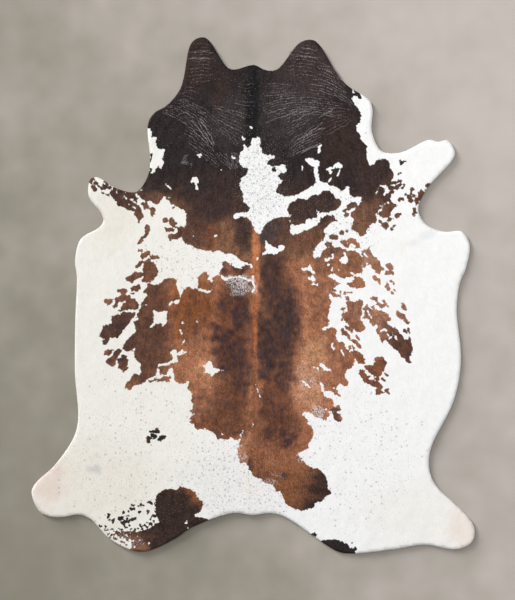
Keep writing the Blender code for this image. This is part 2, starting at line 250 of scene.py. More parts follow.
# %% Walks round the great patches
Walk = namedtuple("Walk", "coat name edge")
WALKS = [
    Walk("dark", "neck", """
        140 20, 345 20, 352 88, 357.5 92, 360.5 98, 355 97, 353 102, 358.5 109, 361 118, 358.5 125,
        355.8 126, 358.5 133, 361.5 140, 367.5 147, 366.3 152, 369 164.5, 373 164.8, 376 161.8,
        380 159.5, 385 159.3, 389 162.5, 390.3 168, 393 172, 394 177.5, 391.5 181.5, 398.5 180.3,
        400 181.5, 392 185, 388 187, 388 190, 394.5 191.3, 391 197, 393 203, 398 205, 392.5 210,
        390 216, 383.5 218.5, 378 215, 375.5 222.5, 369 225.3, 367 232, 359 237, 352 232, 300 250,
        200 250, 176 226.5, 183 228, 186.8 216.3, 182 210, 176.5 206, 169 203, 164 197, 158.8 204,
        152 202, 146 198, 140 190, 146 174, 155 172.5, 156 168, 158.5 166, 161 168.5, 163.5 162.5,
        162 158, 164.5 153, 163 149, 157 147.5, 155.5 142, 157 138, 152 137, 150 128, 135 120"""),
    Walk("dark", "left shoulder", """
        147 192, 150 199, 146 201.5, 141 199, 136.5 199.5, 137 203, 140 207, 143 211.5, 142.5 217,
        140 222.5, 137.5 223, 137.5 218, 133.5 214, 134.5 211.5, 127 209, 119 206, 114.5 200,
        110.3 193, 112 188.5, 104 182, 112 176, 140 176"""),
    Walk("dark", "behind the right shoulder", """
        305 236, 330 240, 352 249.5, 357.5 251, 362 256, 362 250.5, 367 248.5, 369.7 245.7, 372 254,
        379.5 260.5, 381 266, 384.3 269.5, 380.5 272, 379 275, 368.5 265.5, 365 267.5, 361 264,
        363.3 271, 358 273.6, 350.5 272.7, 353 276, 346.5 276.7, 342.7 279, 330 273.5, 305 285"""),
    Walk("dark", "back", """
        200 225, 310 225, 330 262, 329 275, 336 280.8, 339.8 283.5, 333.8 288.5, 337.7 290.5,
        330 293.5, 329.7 298.3, 332 301, 330 306, 328 314, 329 321, 328 325.5, 321.5 327.5,
        324 330.5, 331 327.2, 336 330, 336 336, 337.5 341.5, 345.5 346.5, 350 353, 354.3 362,
        352 368, 346 371, 345.3 378.5, 349 383, 345 386.3, 340.3 384, 337 388.5, 340.3 396, 337 396,
        334 392.8, 323 391, 325.5 398, 331.5 399, 335.5 408, 338 404, 341.3 409, 337 412.5,
        327 410.3, 330 415, 324 419.7, 314 415.5, 306.5 411.3, 301.5 415.5, 290 424, 196 424,
        192 420, 187 418.5, 194 414.5, 189.5 411.5, 193 407, 191 399, 192 394, 188.5 389, 189 380.5,
        200 345, 205 283, 212.5 283, 212 278.3, 218 274.3, 222.7 267, 221 262, 230 263, 238 268.7,
        248 264.7, 250.5 268.5, 251.5 264.3, 240 259.5, 233 254, 224 253.7, 218.5 246, 213.5 243.7,
        208 248.2, 197 246, 191 238, 187 228"""),
    Walk("dark", "rump", """
        300 413, 308 421, 313.5 432.5, 309 442, 307.5 449, 298 453, 304 461.5, 309 466, 321 470.5,
        327 478.5, 328.5 488, 331.5 494, 325 497, 321.5 501.7, 315 503, 313 508, 301 510, 291 507,
        285 502, 281 492.5, 276 491, 272.5 484.5, 264.5 483.5, 260 478.5, 253 475.5, 249 467,
        244.5 462, 241 463, 238 457, 237.5 449, 241 438, 235 440.5, 231 437.5, 227 439.5, 218 438.5,
        213 432.5, 204.5 429, 197.5 429.5, 194 422, 215 410, 285 410"""),
    Walk("dark", "left side", """
        206 350, 189 381, 180.5 384, 173 381, 147 381.5, 142 384, 134 386, 131 390, 124 386.5,
        130.5 379, 134.5 374, 139.5 375.5, 141 370, 139 361.5, 134 356, 134.3 350, 136.5 347,
        130 351, 122 348, 129.5 337, 135.7 330.5, 133.3 323.5, 139 318.7, 135.5 316, 142 307,
        141.5 303.5, 146.3 296, 143 292, 147 288, 149 283, 156 285, 166 278.5, 173 278, 177.5 282.5,
        175.7 285, 180.5 295, 185.5 287.7, 198 288.3, 198 278, 204 272.3, 209 276, 208 284"""),
    Walk("white", "blaze", """
        252.5 138, 260 138.3, 260.5 145, 262.5 151.7, 267 155.7, 271 154.3, 275.5 158.5, 268 160.5,
        267.3 164.7, 276.5 166.7, 284.7 164.7, 286 171.5, 279.5 174, 278 177.5, 282.7 181, 277 187,
        278 193.5, 286 196.3, 293 197, 293 202, 288 206, 288.7 213, 292 215.3, 290 217.5, 281 217,
        269.5 220.7, 264 226.5, 260.5 233.7, 255 230, 251 220.5, 246 217, 233.5 218, 236 213.5,
        248.3 211.3, 249 206.5, 243.3 201, 243 192.5, 240.5 187, 241.5 178.5, 246.5 175.3, 247 169,
        241 165.7, 238.7 157, 243 149.5, 244.5 145, 247 148, 250.8 144, 251 139.5"""),
    Walk("white", "river", """
        286 196.3, 297 194.5, 308 188, 316.7 183, 318.5 178.7, 320 182, 326 183.3, 328 181.5,
        328.5 185.5, 338.5 188.5, 341 191, 346 187.5, 350 187, 349.5 193.5, 354 197.5, 361.8 197.3,
        360.3 203, 354 210, 350.5 215.5, 353.7 219, 351 226, 356 238, 357 249, 347 250.3, 335 246.5,
        324 249, 319.5 256, 313.3 258, 316 246, 324.7 237.5, 324.5 229, 333 221.7, 337 220.5,
        331.5 215, 321 218, 316 226.5, 302.5 231, 292.5 235, 290 230, 291 206"""),
    Walk("dark", "saddle patch", """
        289 204.5, 298 199, 306 200, 313 194.5, 318.5 194.7, 324.5 190.3, 331 191.7, 335.5 197.7,
        340 199.5, 339.5 207.5, 328 212.3, 317 212.5, 316.5 217, 308 219, 304.5 223, 292.5 225,
        284 224, 284 218, 292 215.3, 288.5 212"""),
    Walk("dark", "left flank", """
        118.5 314, 128 311.7, 135 313, 132 320.5, 126 327, 118 337.5, 110.5 338, 107 344,
        102.5 344.5, 103 339.5, 100.5 336, 103 326, 111 324, 111 318"""),
    Walk("dark", "right flank", """
        366.3 304.3, 370 309, 384 311.3, 391 320, 387 321.5, 389 325.5, 397 329, 405 339.5,
        409.5 336.7, 413.3 349.5, 409.5 358, 411.5 361, 408 363, 399 353.5, 386 340.5, 382.5 342,
        377 333, 377.5 325, 372 326, 368.3 320, 366.5 319, 361 319, 363.7 315"""),
    Walk("dark", "right flank, inner", """
        347.5 301.3, 354 302, 360 299.3, 363.5 303.5, 361.3 314, 360.5 319, 365 327.5, 361.8 333,
        352 328.7, 341 315, 348.5 310.3, 344.5 303.5"""),
    Walk("dark", "right flank, knuckle", """
        352 281.7, 356 276, 363.5 280, 363.5 287.7, 348 286.5, 346 283"""),
    Walk("dark", "right thigh", """
        351 352, 360 352, 365.5 362, 358.5 363.5, 355 359, 354 364, 351 360"""),
    Walk("dark", "left buttock", """
        177 489, 182 486.3, 194 491.5, 199.5 500, 202.5 501, 202.5 507, 199 512, 194.5 517,
        206 518.5, 225 530, 200 560, 150 570, 110 560, 131 548, 127 540, 117 537, 112 531, 122 531,
        137 531, 149 528.5, 155.5 524, 159.5 521, 154.5 511, 155.5 499, 158 493.5, 168 488.8"""),
    Walk("dark", "right buttock", """
        321 541, 330 539, 340 540.3, 345 543.3, 349.5 544.5, 350.5 548, 356.5 546.5, 355 551,
        352 558, 318 556"""),
    Walk("white", "pocket in the left side", """
        153 311, 158.5 312.7, 166.5 310.7, 166.5 318.5, 163.5 325.5, 159 323, 149.5 328.5,
        154.5 321.5"""),
    Walk("white", "star left of the loin", """
        203 366, 205.5 363.5, 209.5 361, 212 364, 213.5 367.5, 218 368, 223.5 370.5, 217 371.5,
        214.5 374, 211.5 376, 208.5 373, 204.3 373.5, 205 369"""),
    Walk("white", "antler right of the backbone", """
        266 239.5, 268.5 244, 272.5 246.3, 276.5 248.3, 280.5 245.5, 285.5 247.5, 281.5 251,
        276 253.8, 269.5 253.5, 264.5 254.5, 261.8 257.5, 263 253, 265.8 250, 265.2 244"""),
    Walk("white", "behind the shoulder", """
        344.5 251, 346.3 256.5, 348.7 261, 346 264.3, 339.5 261, 342.5 255.5"""),
    Walk("white", "right loin", "321 363, 331 370.5, 325 371, 320.5 366"),
]
print(len(WALKS), "walks,", sum(len(walk.edge.split(",")) for walk in WALKS), "landmarks")

# %% [markdown]
# ## Islands, flecks and threads
# Round the great patches lie dozens of small ones. A small shape is a row of dabs, each with
# a column, a row and a radius, joined by strokes that taper from one to the next. A comma
# goes on to the next dab and a semicolon starts a new shape. They are painted in order, so
# white bits can be put back into a dark island.

# %% Strokes for the small shapes
Stroke = namedtuple("Stroke", "coat where dabs")
STROKES = [
    Stroke("white", "neck, left", """
        199.5 155.3 1.6, 200.5 155 1.4; 197.5 155.5 .7; 207.5 160 .6; 232 156 .7, 234 157.5 .6;
        221 170 .5; 192.5 181.3 1.7, 195 180 3, 197 181.7 2; 196.4 184 1, 196.8 188.3 1.2;
        242.5 137.5 .7, 244.5 139.5 .9; 250 127 .7, 251 128.5 .6; 166 185 .6, 169 187 .8,
        170.5 188.3 .5"""),
    Stroke("white", "neck, right", """
        319 147.5 1.5, 319 152.5 1.8; 319 149 1, 322.5 143.5 .7; 335.5 166.5 1.6, 338.5 165 2.7,
        339 167 2; 334.5 167 1.2, 329 169.5 1.7, 331 172 1.2; 338.5 172 1.3, 338 175 1.5;
        331 178 .7, 328.5 182 .9; 302 165 .6, 303.5 168 .7, 302 170 .5"""),
    Stroke("white", "stream into the river", """
        308.5 160 2.6, 313 162.5 3.9, 316.5 164 3.3; 316 168 2.1, 315.5 173 2.1, 318 182 2.1"""),
    Stroke("dark", "rocks in the river", """
        348.5 206.2 2.8, 355 204.6 3; 349 210 1, 343 211 1; 345.8 215.3 2, 348 215.3 2;
        331.5 237 2.8, 335.5 237 2.8; 341 232.5 2.2, 342.5 232.5 2; 346.3 231.5 1.6;
        327.5 244.3 2.4, 330 244.3 2.3; 342.3 242 2, 347 244.7 2.8; 350 240.8 2.6, 354 240.3 2.6,
        357.5 246 2.2; 342.5 255.5 1; 273.7 168.5 2.3, 274.3 169.8 2.3"""),
    Stroke("white", "web behind the shoulder", """
        333 254 .9, 332.5 257 .9, 325 260 .9; 328.5 264.5 1.2; 332 267 .8, 331 270 .8;
        338.5 269.5 .8; 303 269.5 1.4, 308 269 1.6, 310 266 1.3, 311 270 1.6, 314 273 1.4;
        310 278.5 1.4, 314 280 1.8, 312.5 276.5 1.2; 313 284 1.2, 316 284.5 1.1; 350.5 248.5 1,
        358 249.5 .9, 362 255.5 .9; 348 243 .7; 364 253 .6, 368 258 .6; 367 264 .7, 370 266 .7"""),
    Stroke("white", "left side, star and channel", """
        171.5 353 1.5, 174 352 2.5, 175 356 2, 174.5 360 2.5, 177 361.5 1; 176.5 355 1, 182 352 2.2,
        182 350 1; 182 353.5 .7, 186.5 352 .8; 174.5 361 1.5, 166 364.5 1.4, 161 365.5 1.4,
        158 368 1.5, 158 377 1.8, 148 381 2; 158 377 1.6, 167 375 1.6, 171.5 370 2, 172 380 2"""),
    Stroke("dark", "bits in the channel", """
        164 372 3, 164.5 372.5 3; 160.5 368 1.8, 167 367 1.8, 175 365 1.6; 164 378.5 2.5,
        168.5 378 2.3, 166 380.5 1.5; 158.5 380 2; 150 381.5 1, 155 380.5 1.2"""),
    Stroke("white", "left side, threads", """
        169.5 305.5 .8, 171 303 1, 178.5 301 1.4, 175 304.5 1; 181 293 .6, 179.5 299 .5; 198 288 .8,
        200 290.5 .9, 208 292.5 1, 212 290 .7; 182.5 322 .9, 183.5 324 1; 180.5 330.5 .9,
        181.5 333.5 .6; 197.5 321.5 .8; 184.5 340 .5, 181.5 344.5 .4; 147 305 .8, 142 306 .8,
        137 312 .9, 135.5 316 .9, 131 322 1; 135.5 316 .8, 140 319 .7; 217 273.5 .8, 222 278 .8,
        227 280 .8; 216 235.5 .9; 192.7 235.5 .9; 222.5 434 .8"""),
    Stroke("white", "rim of the frosted spot", """
        217 274 .7, 226 279 .8, 233 277 .9, 240 276.5 .8; 240 276.5 .6, 252 281 .8, 253.5 277 .8;
        252 281 .8, 254 285 .9, 253 291 .7"""),
    Stroke("white", "right side, threads", """
        318.5 368 .6, 314 366.5 .6; 318 368 1.2, 318.5 371.5 .7; 321 383.5 1, 322.5 386.5 1.4,
        323 390 1.3; 332 344 .8, 332.5 346.5 .8, 333.5 349 .7; 342 351 .8, 344 356 .8;
        334.5 387.5 .8; 326 409 .7, 332 414 .7; 243 429 .5, 241 437 .5; 255.5 385 .3, 260 397 .4;
        253 424.5 .8; 258 259 1.2; 290 221.5 .8; 303 381.5 1, 307 384.5 1.2, 310 387 .6"""),
    Stroke("white", "right shoulder", """
        387 189.5 2, 385.5 192.5 1.4, 384.5 194 .8; 386 186 .9; 379.5 186 .6, 385 187 1;
        379 187.5 .6, 376 194 .5; 387 190.3 .6, 393 190.3 .6; 386.5 186.5 .8, 395 185.8 .8,
        400 183 .7; 383.5 205.5 .7, 388 203 .7; 381 206 .7; 378 213 .6, 379.5 210 .6; 376.5 214.5 1,
        378 219 1; 380.5 210.5 .6, 383.5 208.5 .6; 317.5 211 .8, 319 213 .8;
        353.5 98 1, 355 97 .8"""),
    Stroke("dark", "islands on the right shoulder", """
        389.5 188 2.2, 393 188 2.2; 397 188.3 2.2; 394 183.5 1.5, 400 180.5 1.5; 400 185 1.4;
        402.5 187.5 1.2, 404.5 184.5 1.1; 398.5 174.8 .9, 400.3 173.3 .8; 400 161 1, 401 163.5 1.2,
        405 161 1; 380 222 1.6; 385.5 225 3.7; 389.5 219 2.2; 393 219 1; 396.5 216.5 2.1,
        398.5 214.5 2.1; 394 225.5 1.5; 391.5 229 1.6; 411.5 188.8 2; 411 190 .8, 411 203 .8;
        405.5 194.3 1.7; 408 196 1.8, 411 201 2; 399.5 199.5 2, 402.5 199.5 2; 414 196 1.8;
        416.5 199.5 2.2, 416.5 202.5 2.2; 421 194 3.2, 421 198 3.3; 421 190.5 1; 425.5 190 1;
        428.5 185.5 2.9; 414.5 209 1.7, 414.5 212.5 1.8; 412.5 213.8 1, 416.3 213 1; 414.7 216 1;
        355.5 89 2.2, 360 97.5 1.5"""),
    Stroke("dark", "islands below the right shoulder", """
        388.8 266 2.8, 391.2 268.3 2.8; 387 272.8 2, 392 272.8 2; 375 278 2.3, 378 280 2.2,
        381 283.5 .8; 385.5 282.5 .9, 387 285 .9; 385.5 286.5 1.2, 388 289 1.7; 391 281.3 1.3,
        393.5 283.5 1.2; 394 289.5 .8, 395.5 291 .8; 391 292 1, 392.5 293 1.3; 332.5 293 1.8,
        334.5 295.5 2, 337.5 296 1.5, 340 296 1.2; 341 291.8 1.5; 345 293 1.2, 351.5 293 1;
        346 296.5 1.3, 348 298.5 2; 372 298 1.6, 376 298.5 2, 376 301.5 1.2, 381.5 306.5 2.3,
        384 305 1.8; 384 301 1.5, 387.5 306.5 1.2; 372.5 307 1.4, 375 308.5 1.2; 340 310 1.3,
        343 309.5 1.6; 342 319.5 1.2; 364 309.5 1, 366 307 1.3; 402.5 304.5 2, 404 307.5 2.3,
        406 310 1; 397.5 311.5 1.6, 399 315 2, 402.5 316.5 3, 408 323 1.8"""),
    Stroke("dark", "islands on the right flank", """
        404.5 330 1, 405.5 332.5 1; 408.5 329.5 1.3, 409 332.5 1; 345 326.3 .9, 348 328.5 1.2,
        351.5 331 2, 353 332 1.3; 342 330 1.8, 343.5 332.5 2.4, 347 334 1.6, 349.8 339 .9;
        355.5 335.5 1, 357.5 338 1.4, 360 340 1; 352.5 340 1.3, 356.5 343 2, 359 346 1.8,
        361 348.5 .9; 352.5 346.5 1.3, 353.5 348.5 1; 341.5 344 2, 344 346 1.2; 349.5 347.5 1.4;
        378 360 3.6, 381.5 359.5 3.2, 384 364 3, 381.5 369 3, 379 365 4.8; 372 371 3, 376 368 3.6,
        379 373 3.8; 366.5 367 2.5, 370 368.5 3.5, 374 371.5 3.5, 377 374 3.8, 380 371 2.5;
        377.5 379.5 1.7, 375 379 1; 382 378 1.2, 385 380.5 1.3; 385.5 373 1, 387 376 1.5;
        361.5 372 2.8, 364 375.5 3.6, 367.5 377 2.5, 370 376 1.5; 366 380.5 2.8, 370 382.5 3,
        374 384 3.2, 378 385 2.8, 381 388 2.3, 378 390 2.8, 376.5 393.5 1.8, 382 392.5 1.8;
        385 389.8 1, 387 391 2.3, 388.5 393 1.3; 336 415 3.5, 339 418 3.3, 340.5 420 1.8;
        352 358 1.5, 353.5 362 1"""),
    Stroke("white", "in the right flank", """
        381 331 1, 384 330 1, 386.5 330.5 .9; 388 334.5 1, 390 337.5 .8; 391.5 334 .9, 397 339.5 .9;
        367.5 311 .8, 372 318 .6"""),
    Stroke("dark", "flecks by the left cheek", """
        151.5 154.5 1.2, 151.5 156.5 1.2; 151 159.5 1, 150.5 162 1; 151 169 1, 149.5 173 1.6"""),
    Stroke("dark", "left fore shank", """
        92.5 179.5 2.2, 91 182.5 2.3; 94 183 1.5, 96.5 183.5 1.5, 98.5 186.5 1.8; 93 186 1.8,
        95.5 190.5 1.6; 105 181.5 1.2, 111.5 187.5 1.2; 103.5 184.8 1.5, 106 186.5 2.3,
        108.5 188 1.5; 101 188.5 1.2, 104.5 188.8 1.1; 102 192.3 .9, 109.5 195.5 .9; 144.5 204.5 3,
        147.5 207.5 2.2; 152.5 209.5 2.6, 152.5 213.5 2.6; 142 216 1.6; 164.7 220.2 2.7,
        166 220.4 2.4; 172 221.5 3.5, 173 223.3 3.4; 174.7 227 1.3; 167 229.8 2.1, 172 229.8 2.1;
        180.5 229 3; 171 236.5 3, 176 236.5 3, 181 234 3; 171 240 1.3; 173.5 207 1.3; 147 227.5 2.6,
        147 232.5 2.8; 146 235 2, 139 243 1.8; 146.8 248.3 1.4; 138.5 250.5 1.3, 142.5 250.5 1.3;
        142.8 256.5 2.6, 148 253.6 2.6; 151 257.2 2, 157.5 257.2 2"""),
    Stroke("white", "left shoulder", """
        116.5 190 .7; 116.5 193 .8; 107 191.5 1.1, 110.5 190 .9; 112.5 186.3 .9, 109.5 184.8 .8;
        121.5 198 .8; 126 193.5 .8; 124.5 196.3 .6, 127 198.7 .7; 135.5 194.5 .8, 139 197 1;
        131 199.5 .8, 138 203.5 1, 144 212 1; 129 204 .7; 133 207 .7, 135 208.5 .6; 140.5 191 1,
        142 190 .8; 165 197.3 .6, 170 197.2 .4"""),
    Stroke("dark", "islands on the left ribs", """
        148 262 3.5, 149.5 268 7, 150.5 272 7.5, 148 277 5.5, 144 280 2; 128 279 2.5, 131 280 3,
        135 276 4, 142.5 274.5 2; 137 266.5 1.3, 140 264 2.5, 143 262 1.3; 119 291 2, 122 291.5 3,
        126 291.3 1.8; 132.5 289 2, 136 288.5 3, 139 287.5 2; 131.5 294 1, 133 293 1.5;
        106.5 301 2.2, 109.5 301.5 3.2, 108.5 305 1.2, 112 300.5 1.5; 118 300 3, 122 298 3.5,
        128 297 2.5; 133 300.5 2.4, 130 302 4, 136 306 3.5, 125 306 3.5, 122 309 2; 116 305 2.5,
        113.5 306.5 1.5; 119.5 310.5 1.3; 105.5 353.5 1.3, 108.5 352 3, 112 350.5 1.5; 119 351 2.5,
        117 354 2.5, 114 358 3, 111 361.5 4.5, 113 364 3; 124 358 3, 123.5 362 5, 121 367 3,
        120 360 2.5; 123.5 370 2, 127 369 1"""),
    Stroke("white", "in the left ribs", "119 305 .7, 122 305 .7; 125.5 310.5 .8, 131 310 .8"),
    Stroke("dark", "islands on the left hind shank", """
        150.5 431.5 1.5, 157.5 431 2.4, 157 428.5 1.2; 152 436 2, 155 435.5 2.2; 148.5 438.5 2.2,
        148.5 441 2.2; 158.5 440 1.5, 162 438 2.5, 165 436 1.5; 148 502.5 1.7, 150.5 502.5 1.6;
        141 504.5 1.5, 143 505 1.3; 133 505.5 1.5; 130.5 508.7 1.3, 134 508.3 1.5; 137.5 506.3 1.1;
        128.5 511 1.4; 124 511.8 1.3; 147 510 1.5, 148.5 512.8 1.5; 138.5 512.3 1.3, 141 512 1;
        109 514.3 1.5, 109 516.5 1.5; 110.5 519.8 1.5; 114.5 519.8 1.3, 113.5 522.3 1.6;
        119.8 518 1.8, 122.3 517.8 1.7; 127.3 516.3 1.4; 127.3 518.5 1.1; 130 520.3 1.2,
        132.5 519.3 1.4, 135.3 518 1.2; 122.5 522.5 1.5, 125.5 522 1.5; 128.8 521.8 1.3;
        124.5 524.7 1.3; 129 525 1.2; 153 515.5 1.6, 155.5 516 1.3; 151.3 519.3 1.4;
        153.8 521.3 1.5; 147.3 522.3 1.2; 150.3 523.8 1.5; 144.8 525 1.3; 141 525.3 1.4;
        146.5 527.5 1.3; 138 528.5 1.3; 142.3 528.3 1.2; 151.5 527 1.3; 102.3 527.3 1.2;
        105.3 526.7 1.1; 103.5 529.5 1; 113 528.5 1.3; 119.5 528.5 1.5, 122 529 1.4;
        126.5 527.8 1.3; 131.5 528.5 1.3; 135 530 1.2; 109 533 1.2; 111.5 535 1.3; 313.5 534 1.9,
        316 535.3 1.7; 352.3 542.8 .9"""),
    Stroke("white", "in the left buttock", """
        187 520 1, 186.5 522 1; 187.5 527.5 .8, 189 528 .8; 154 531.3 .9; 134 541 .8; 134.5 547 1;
        149 543.5 1; 118 531 .7, 121 532.5 .7; 124 534.5 .6, 127 536 .8; 131 533 .6; 116 535 .8,
        119 537.5 .8; 137 536 .6; 143 534 .5; 129 540 .8, 131 541.5 .6; 125.5 530.5 .6;
        134 538.5 .5; 140 539.5 .5; 114 532.5 .7; 122.5 537.5 .6, 125 539.5 .7"""),
    Stroke("dark", "dashes below the left buttock", """
        108 536 1, 111 537.5 1.1; 114 538.5 1.2, 117 539.5 1.2; 121 541.5 1, 124 542.5 1.1;
        99.5 525 1, 101.5 526 1.1; 115 534 1.3; 118.5 535.5 1.4; 107 529.5 1; 120 544.5 .8;
        126.5 545 .8"""),
]
print(sum(len(stroke.dabs.split(";")) for stroke in STROKES), "small shapes")

# %% Paint the great patches and the small shapes
WALK_ROUNDING = 3


def paint_coat():
    """Distance inside (+) or outside (-) the dark coat, with every shape laid over the last."""
    sheet = np.full((SHEET_HIGH, SHEET_WIDE), -REACH)
    shapes = [(walk.coat, walk_gap(rounded(chart(walk.edge, 2), WALK_ROUNDING))) for walk in WALKS]
    for stroke in STROKES:
        shapes += [(stroke.coat, stroke_gap(chart(dabs, 3))) for dabs in stroke.dabs.split(";")]
    for coat, gap in shapes:
        sheet = np.maximum(sheet, -gap) if coat == "dark" else np.minimum(sheet, gap)
    return sheet


def dark_share(sheet):
    """How much of the hide is dark, in percent."""
    return round(100 * np.mean(sheet[rim_gap > 0] > 0))


charted_sheet = paint_coat()
print("dark coat covers", dark_share(charted_sheet), "percent of the hide")

# %% [markdown]
# ## Crumbled edges
# Where two coats meet, the border is never a smooth line: it is made of bumps a centimetre
# or two wide. Drawing them all would take thousands of points, so the charted sheet is
# crumbled. Every cell reads the chart a few millimetres off its own place, and the border
# then creeps in or out a little. Both amounts come from smooth random sheets.

# %% Crumble the patches' edges
WANDER_SIZE, WANDER = 14 * MM, 3.4 * MM
Creep = namedtuple("Creep", "size depth seed")
CREEPS = (Creep(11 * MM, 2.4 * MM, 23), Creep(6 * MM, 2.6 * MM, 24))


def crumbled(sheet):
    """The sheet read at places that wander, with borders that creep to and fro."""
    wander = [WANDER * crumple(WANDER_SIZE, seed) for seed in (21, 22)]
    x, y = CELL_X[None, :] + wander[0], CELL_Y[:, None] + wander[1]
    moved = read_sheet(sheet, np.stack([x.ravel(), y.ravel()], 1)).reshape(sheet.shape)
    return moved + sum(creep.depth * crumple(creep.size, creep.seed) for creep in CREEPS)


patch_sheet = crumbled(charted_sheet)
print("after crumbling,", dark_share(patch_sheet), "percent is dark")

# %% [markdown]
# ## The neck's creases
# Where the neck bent, the skin keeps bundles of fine creases, and the hair stands up along
# them. A bundle is given by its first and its last line, each through three landmarks, and
# the lines between are worked out. The skin rises along each line in a soft ridge that
# fades in and out. Locks of hair are set on the same lines further down.

# %% Lines of the creases
Bundle = namedtuple("Bundle", "name count strength first last")
CREASES = [
    Bundle("left lobe", 12, 0.75, "190 45, 201 44, 212 46", "184 84, 200 82, 216 82"),
    Bundle("left lobe, brightest", 2, 1.1, "189 53, 203 52.5, 215 54", "187 59.5, 202 59, 217 59"),
    Bundle("left lobe root", 5, 0.7, "183 88, 192 88, 200 90", "178 99, 186 100, 196 104"),
    Bundle("left cheek fan", 10, 0.85, "176 99, 200 107, 222 124", "160 113, 184 123, 212 150"),
    Bundle("left cheek, low", 6, 0.85, "178 123, 199 136, 216 154", "182 141, 202 156, 222 171"),
    Bundle("left cheek, foot", 5, 0.75, "218 146, 228 156, 238 168", "213 152, 223 162, 233 172"),
    Bundle("left threads", 3, 2.1, "198 117, 207 130, 216 147", "190 119, 201 132, 210 146"),
    Bundle("left of the spine", 10, 0.85, "208 104, 230 110, 250 116", "214 128, 228 138, 241 149"),
    Bundle("left of the mane stripe", 10, 0.7,
           "236 84, 246 84.5, 256 84", "232 112, 244 116, 254 117"),
    Bundle("right lobe, left", 7, 0.65, "290 52, 296 51, 303 52", "280 75, 292 74, 302 75"),
    Bundle("right lobe", 9, 0.9, "297 45, 308 45.5, 319 49", "290 76, 306 75, 322 80"),
    Bundle("right lobe, brightest", 2, 1.4, "298 48, 308 49, 319 51", "300 57, 310 57, 322 59"),
    Bundle("right lobe, edge", 11, 1.05, "318 62, 331 68, 342 78", "306 90, 332 95, 357 110"),
    Bundle("right arcs", 10, 0.85, "262 100, 300 93, 348 98", "262 126, 300 114, 354 122"),
    Bundle("right of the mane stripe", 7, 0.75, "260 84, 280 84, 298 84", "261 99, 280 97, 298 94"),
    Bundle("right fan, high", 8, 0.9, "280 120, 300 110, 318 104", "281 140, 298 130, 318 117"),
    Bundle("right fan, low", 8, 0.95, "283 146, 303 133, 325 120", "284 160, 304 150, 322 143"),
    Bundle("right cheek, outer", 7, 0.75, "322 112, 338 108, 354 112", "322 138, 338 129, 352 122"),
    Bundle("right threads", 2, 2.5,
           "315 120.5, 325 113.5, 338 106", "293 140, 309 133.5, 325 120.5"),
    Bundle("right threads, low", 2, 2.2,
           "303 140, 309 134, 327 127.5", "297 155.5, 309 149, 323 142.5"),
    Bundle("rump threads", 2, 1.4, "267 457, 271 461, 276 467", "266 471, 275 475, 287 479"),
]
LINE_PARTS = 16
LINE_WOBBLE, WOBBLE_SIZE = 1.6 * MM, 40 * MM


def crease_lines():
    """Each crease as its strength and a wobbly row of points."""
    rng = np.random.default_rng(31)
    lines = []
    for bundle in CREASES:
        first, last = chart(bundle.first, 2), chart(bundle.last, 2)
        for step in range(bundle.count):
            start, middle, end = first + step / (bundle.count - 1) * (last - first)
            from_share, to_share = rng.uniform(0, 0.2), rng.uniform(0.8, 1)
            t = np.linspace(from_share, to_share, LINE_PARTS)[:, None]
            line = (1 - t) * (1 - 2 * t) * start + 4 * t * (1 - t) * middle + t * (2 * t - 1) * end
            wobble = [lumps(line, WOBBLE_SIZE, seed) for seed in rng.integers(1, 1000, 2)]
            strength = bundle.strength * rng.uniform(0.7, 1.1)
            lines.append((strength, line + LINE_WOBBLE * np.stack(wobble, 1)))
    return lines


creases = crease_lines()
print(len(creases), "creases")

# %% Creases as soft ridges
RIDGE_HALF_WIDTH = 3.6 * MM
RIDGE_REACH = 3 * RIDGE_HALF_WIDTH
CREST = 0.75 * MM
STRONGEST = 1.2
FADE_IN, FADE_OUT = 0.12, 0.88


def crease_heights():
    """A sheet of the ridges' heights in metres."""
    sheet = np.zeros((SHEET_HIGH, SHEET_WIDE))
    for strength, line in creases:
        width = RIDGE_HALF_WIDTH * np.sin(np.linspace(FADE_IN, FADE_OUT, len(line)) * np.pi)
        here, _, _ = window(line[:, 0], line[:, 1], RIDGE_REACH)
        gap = stroke_gap(np.c_[line, width], RIDGE_REACH, here)
        ridge = np.exp(-np.square(np.maximum(gap + RIDGE_HALF_WIDTH, 0) / RIDGE_HALF_WIDTH))
        crest = min(strength, STRONGEST) * CREST
        sheet[here] = np.maximum(sheet[here], crest * (ridge - ridge.min()))
    return sheet


crease_sheet = crease_heights()
print("creases up to", round(crease_sheet.max() / MM, 2), "mm high")

# %% [markdown]
# ## The hide as one closed sheet
# The hair side is a net of triangles, small along the edges of the coat's patches, over the
# creases and down the backbone, and wide where nothing happens. Its points are dropped onto
# the solid, so it keeps the solid's shape, and then gets the creases and a slow waviness. The
# underside is flat and is filled from rim to rim, with no points inside, and a narrow strip
# round the rim joins the two.

# %% Net of points
FINE, CREASED, MIDDLE, COARSE = 3.3 * MM, 4.4 * MM, 5.6 * MM, 11.0 * MM
EDGE_BAND, NEAR_BAND = 4 * MM, 12 * MM
FAINT_CREASE = 0.04 * MM
STRIPE_MIDDLE, STRIPE_BAND = 10 * MM, 28 * MM
STRIPE_FOOT, STRIPE_HEAD = -0.6, 0.35
ROW_SHARE, RIM_SHARE = 0.87, 0.7


def lattice(step, wanted):
    """Staggered rows of points inside the outline, where wanted(places) says so."""
    xs = np.arange(SHEET_LEFT, CELL_X[-1], step)
    ys = np.arange(CELL_Y[-1], SHEET_TOP, step * ROW_SHARE)
    places = np.array([(x + step / 2 * (row % 2), y) for row, y in enumerate(ys) for x in xs])
    inside = read_sheet(rim_gap, places) > RIM_SHARE * step
    return places[inside][wanted(places[inside])]


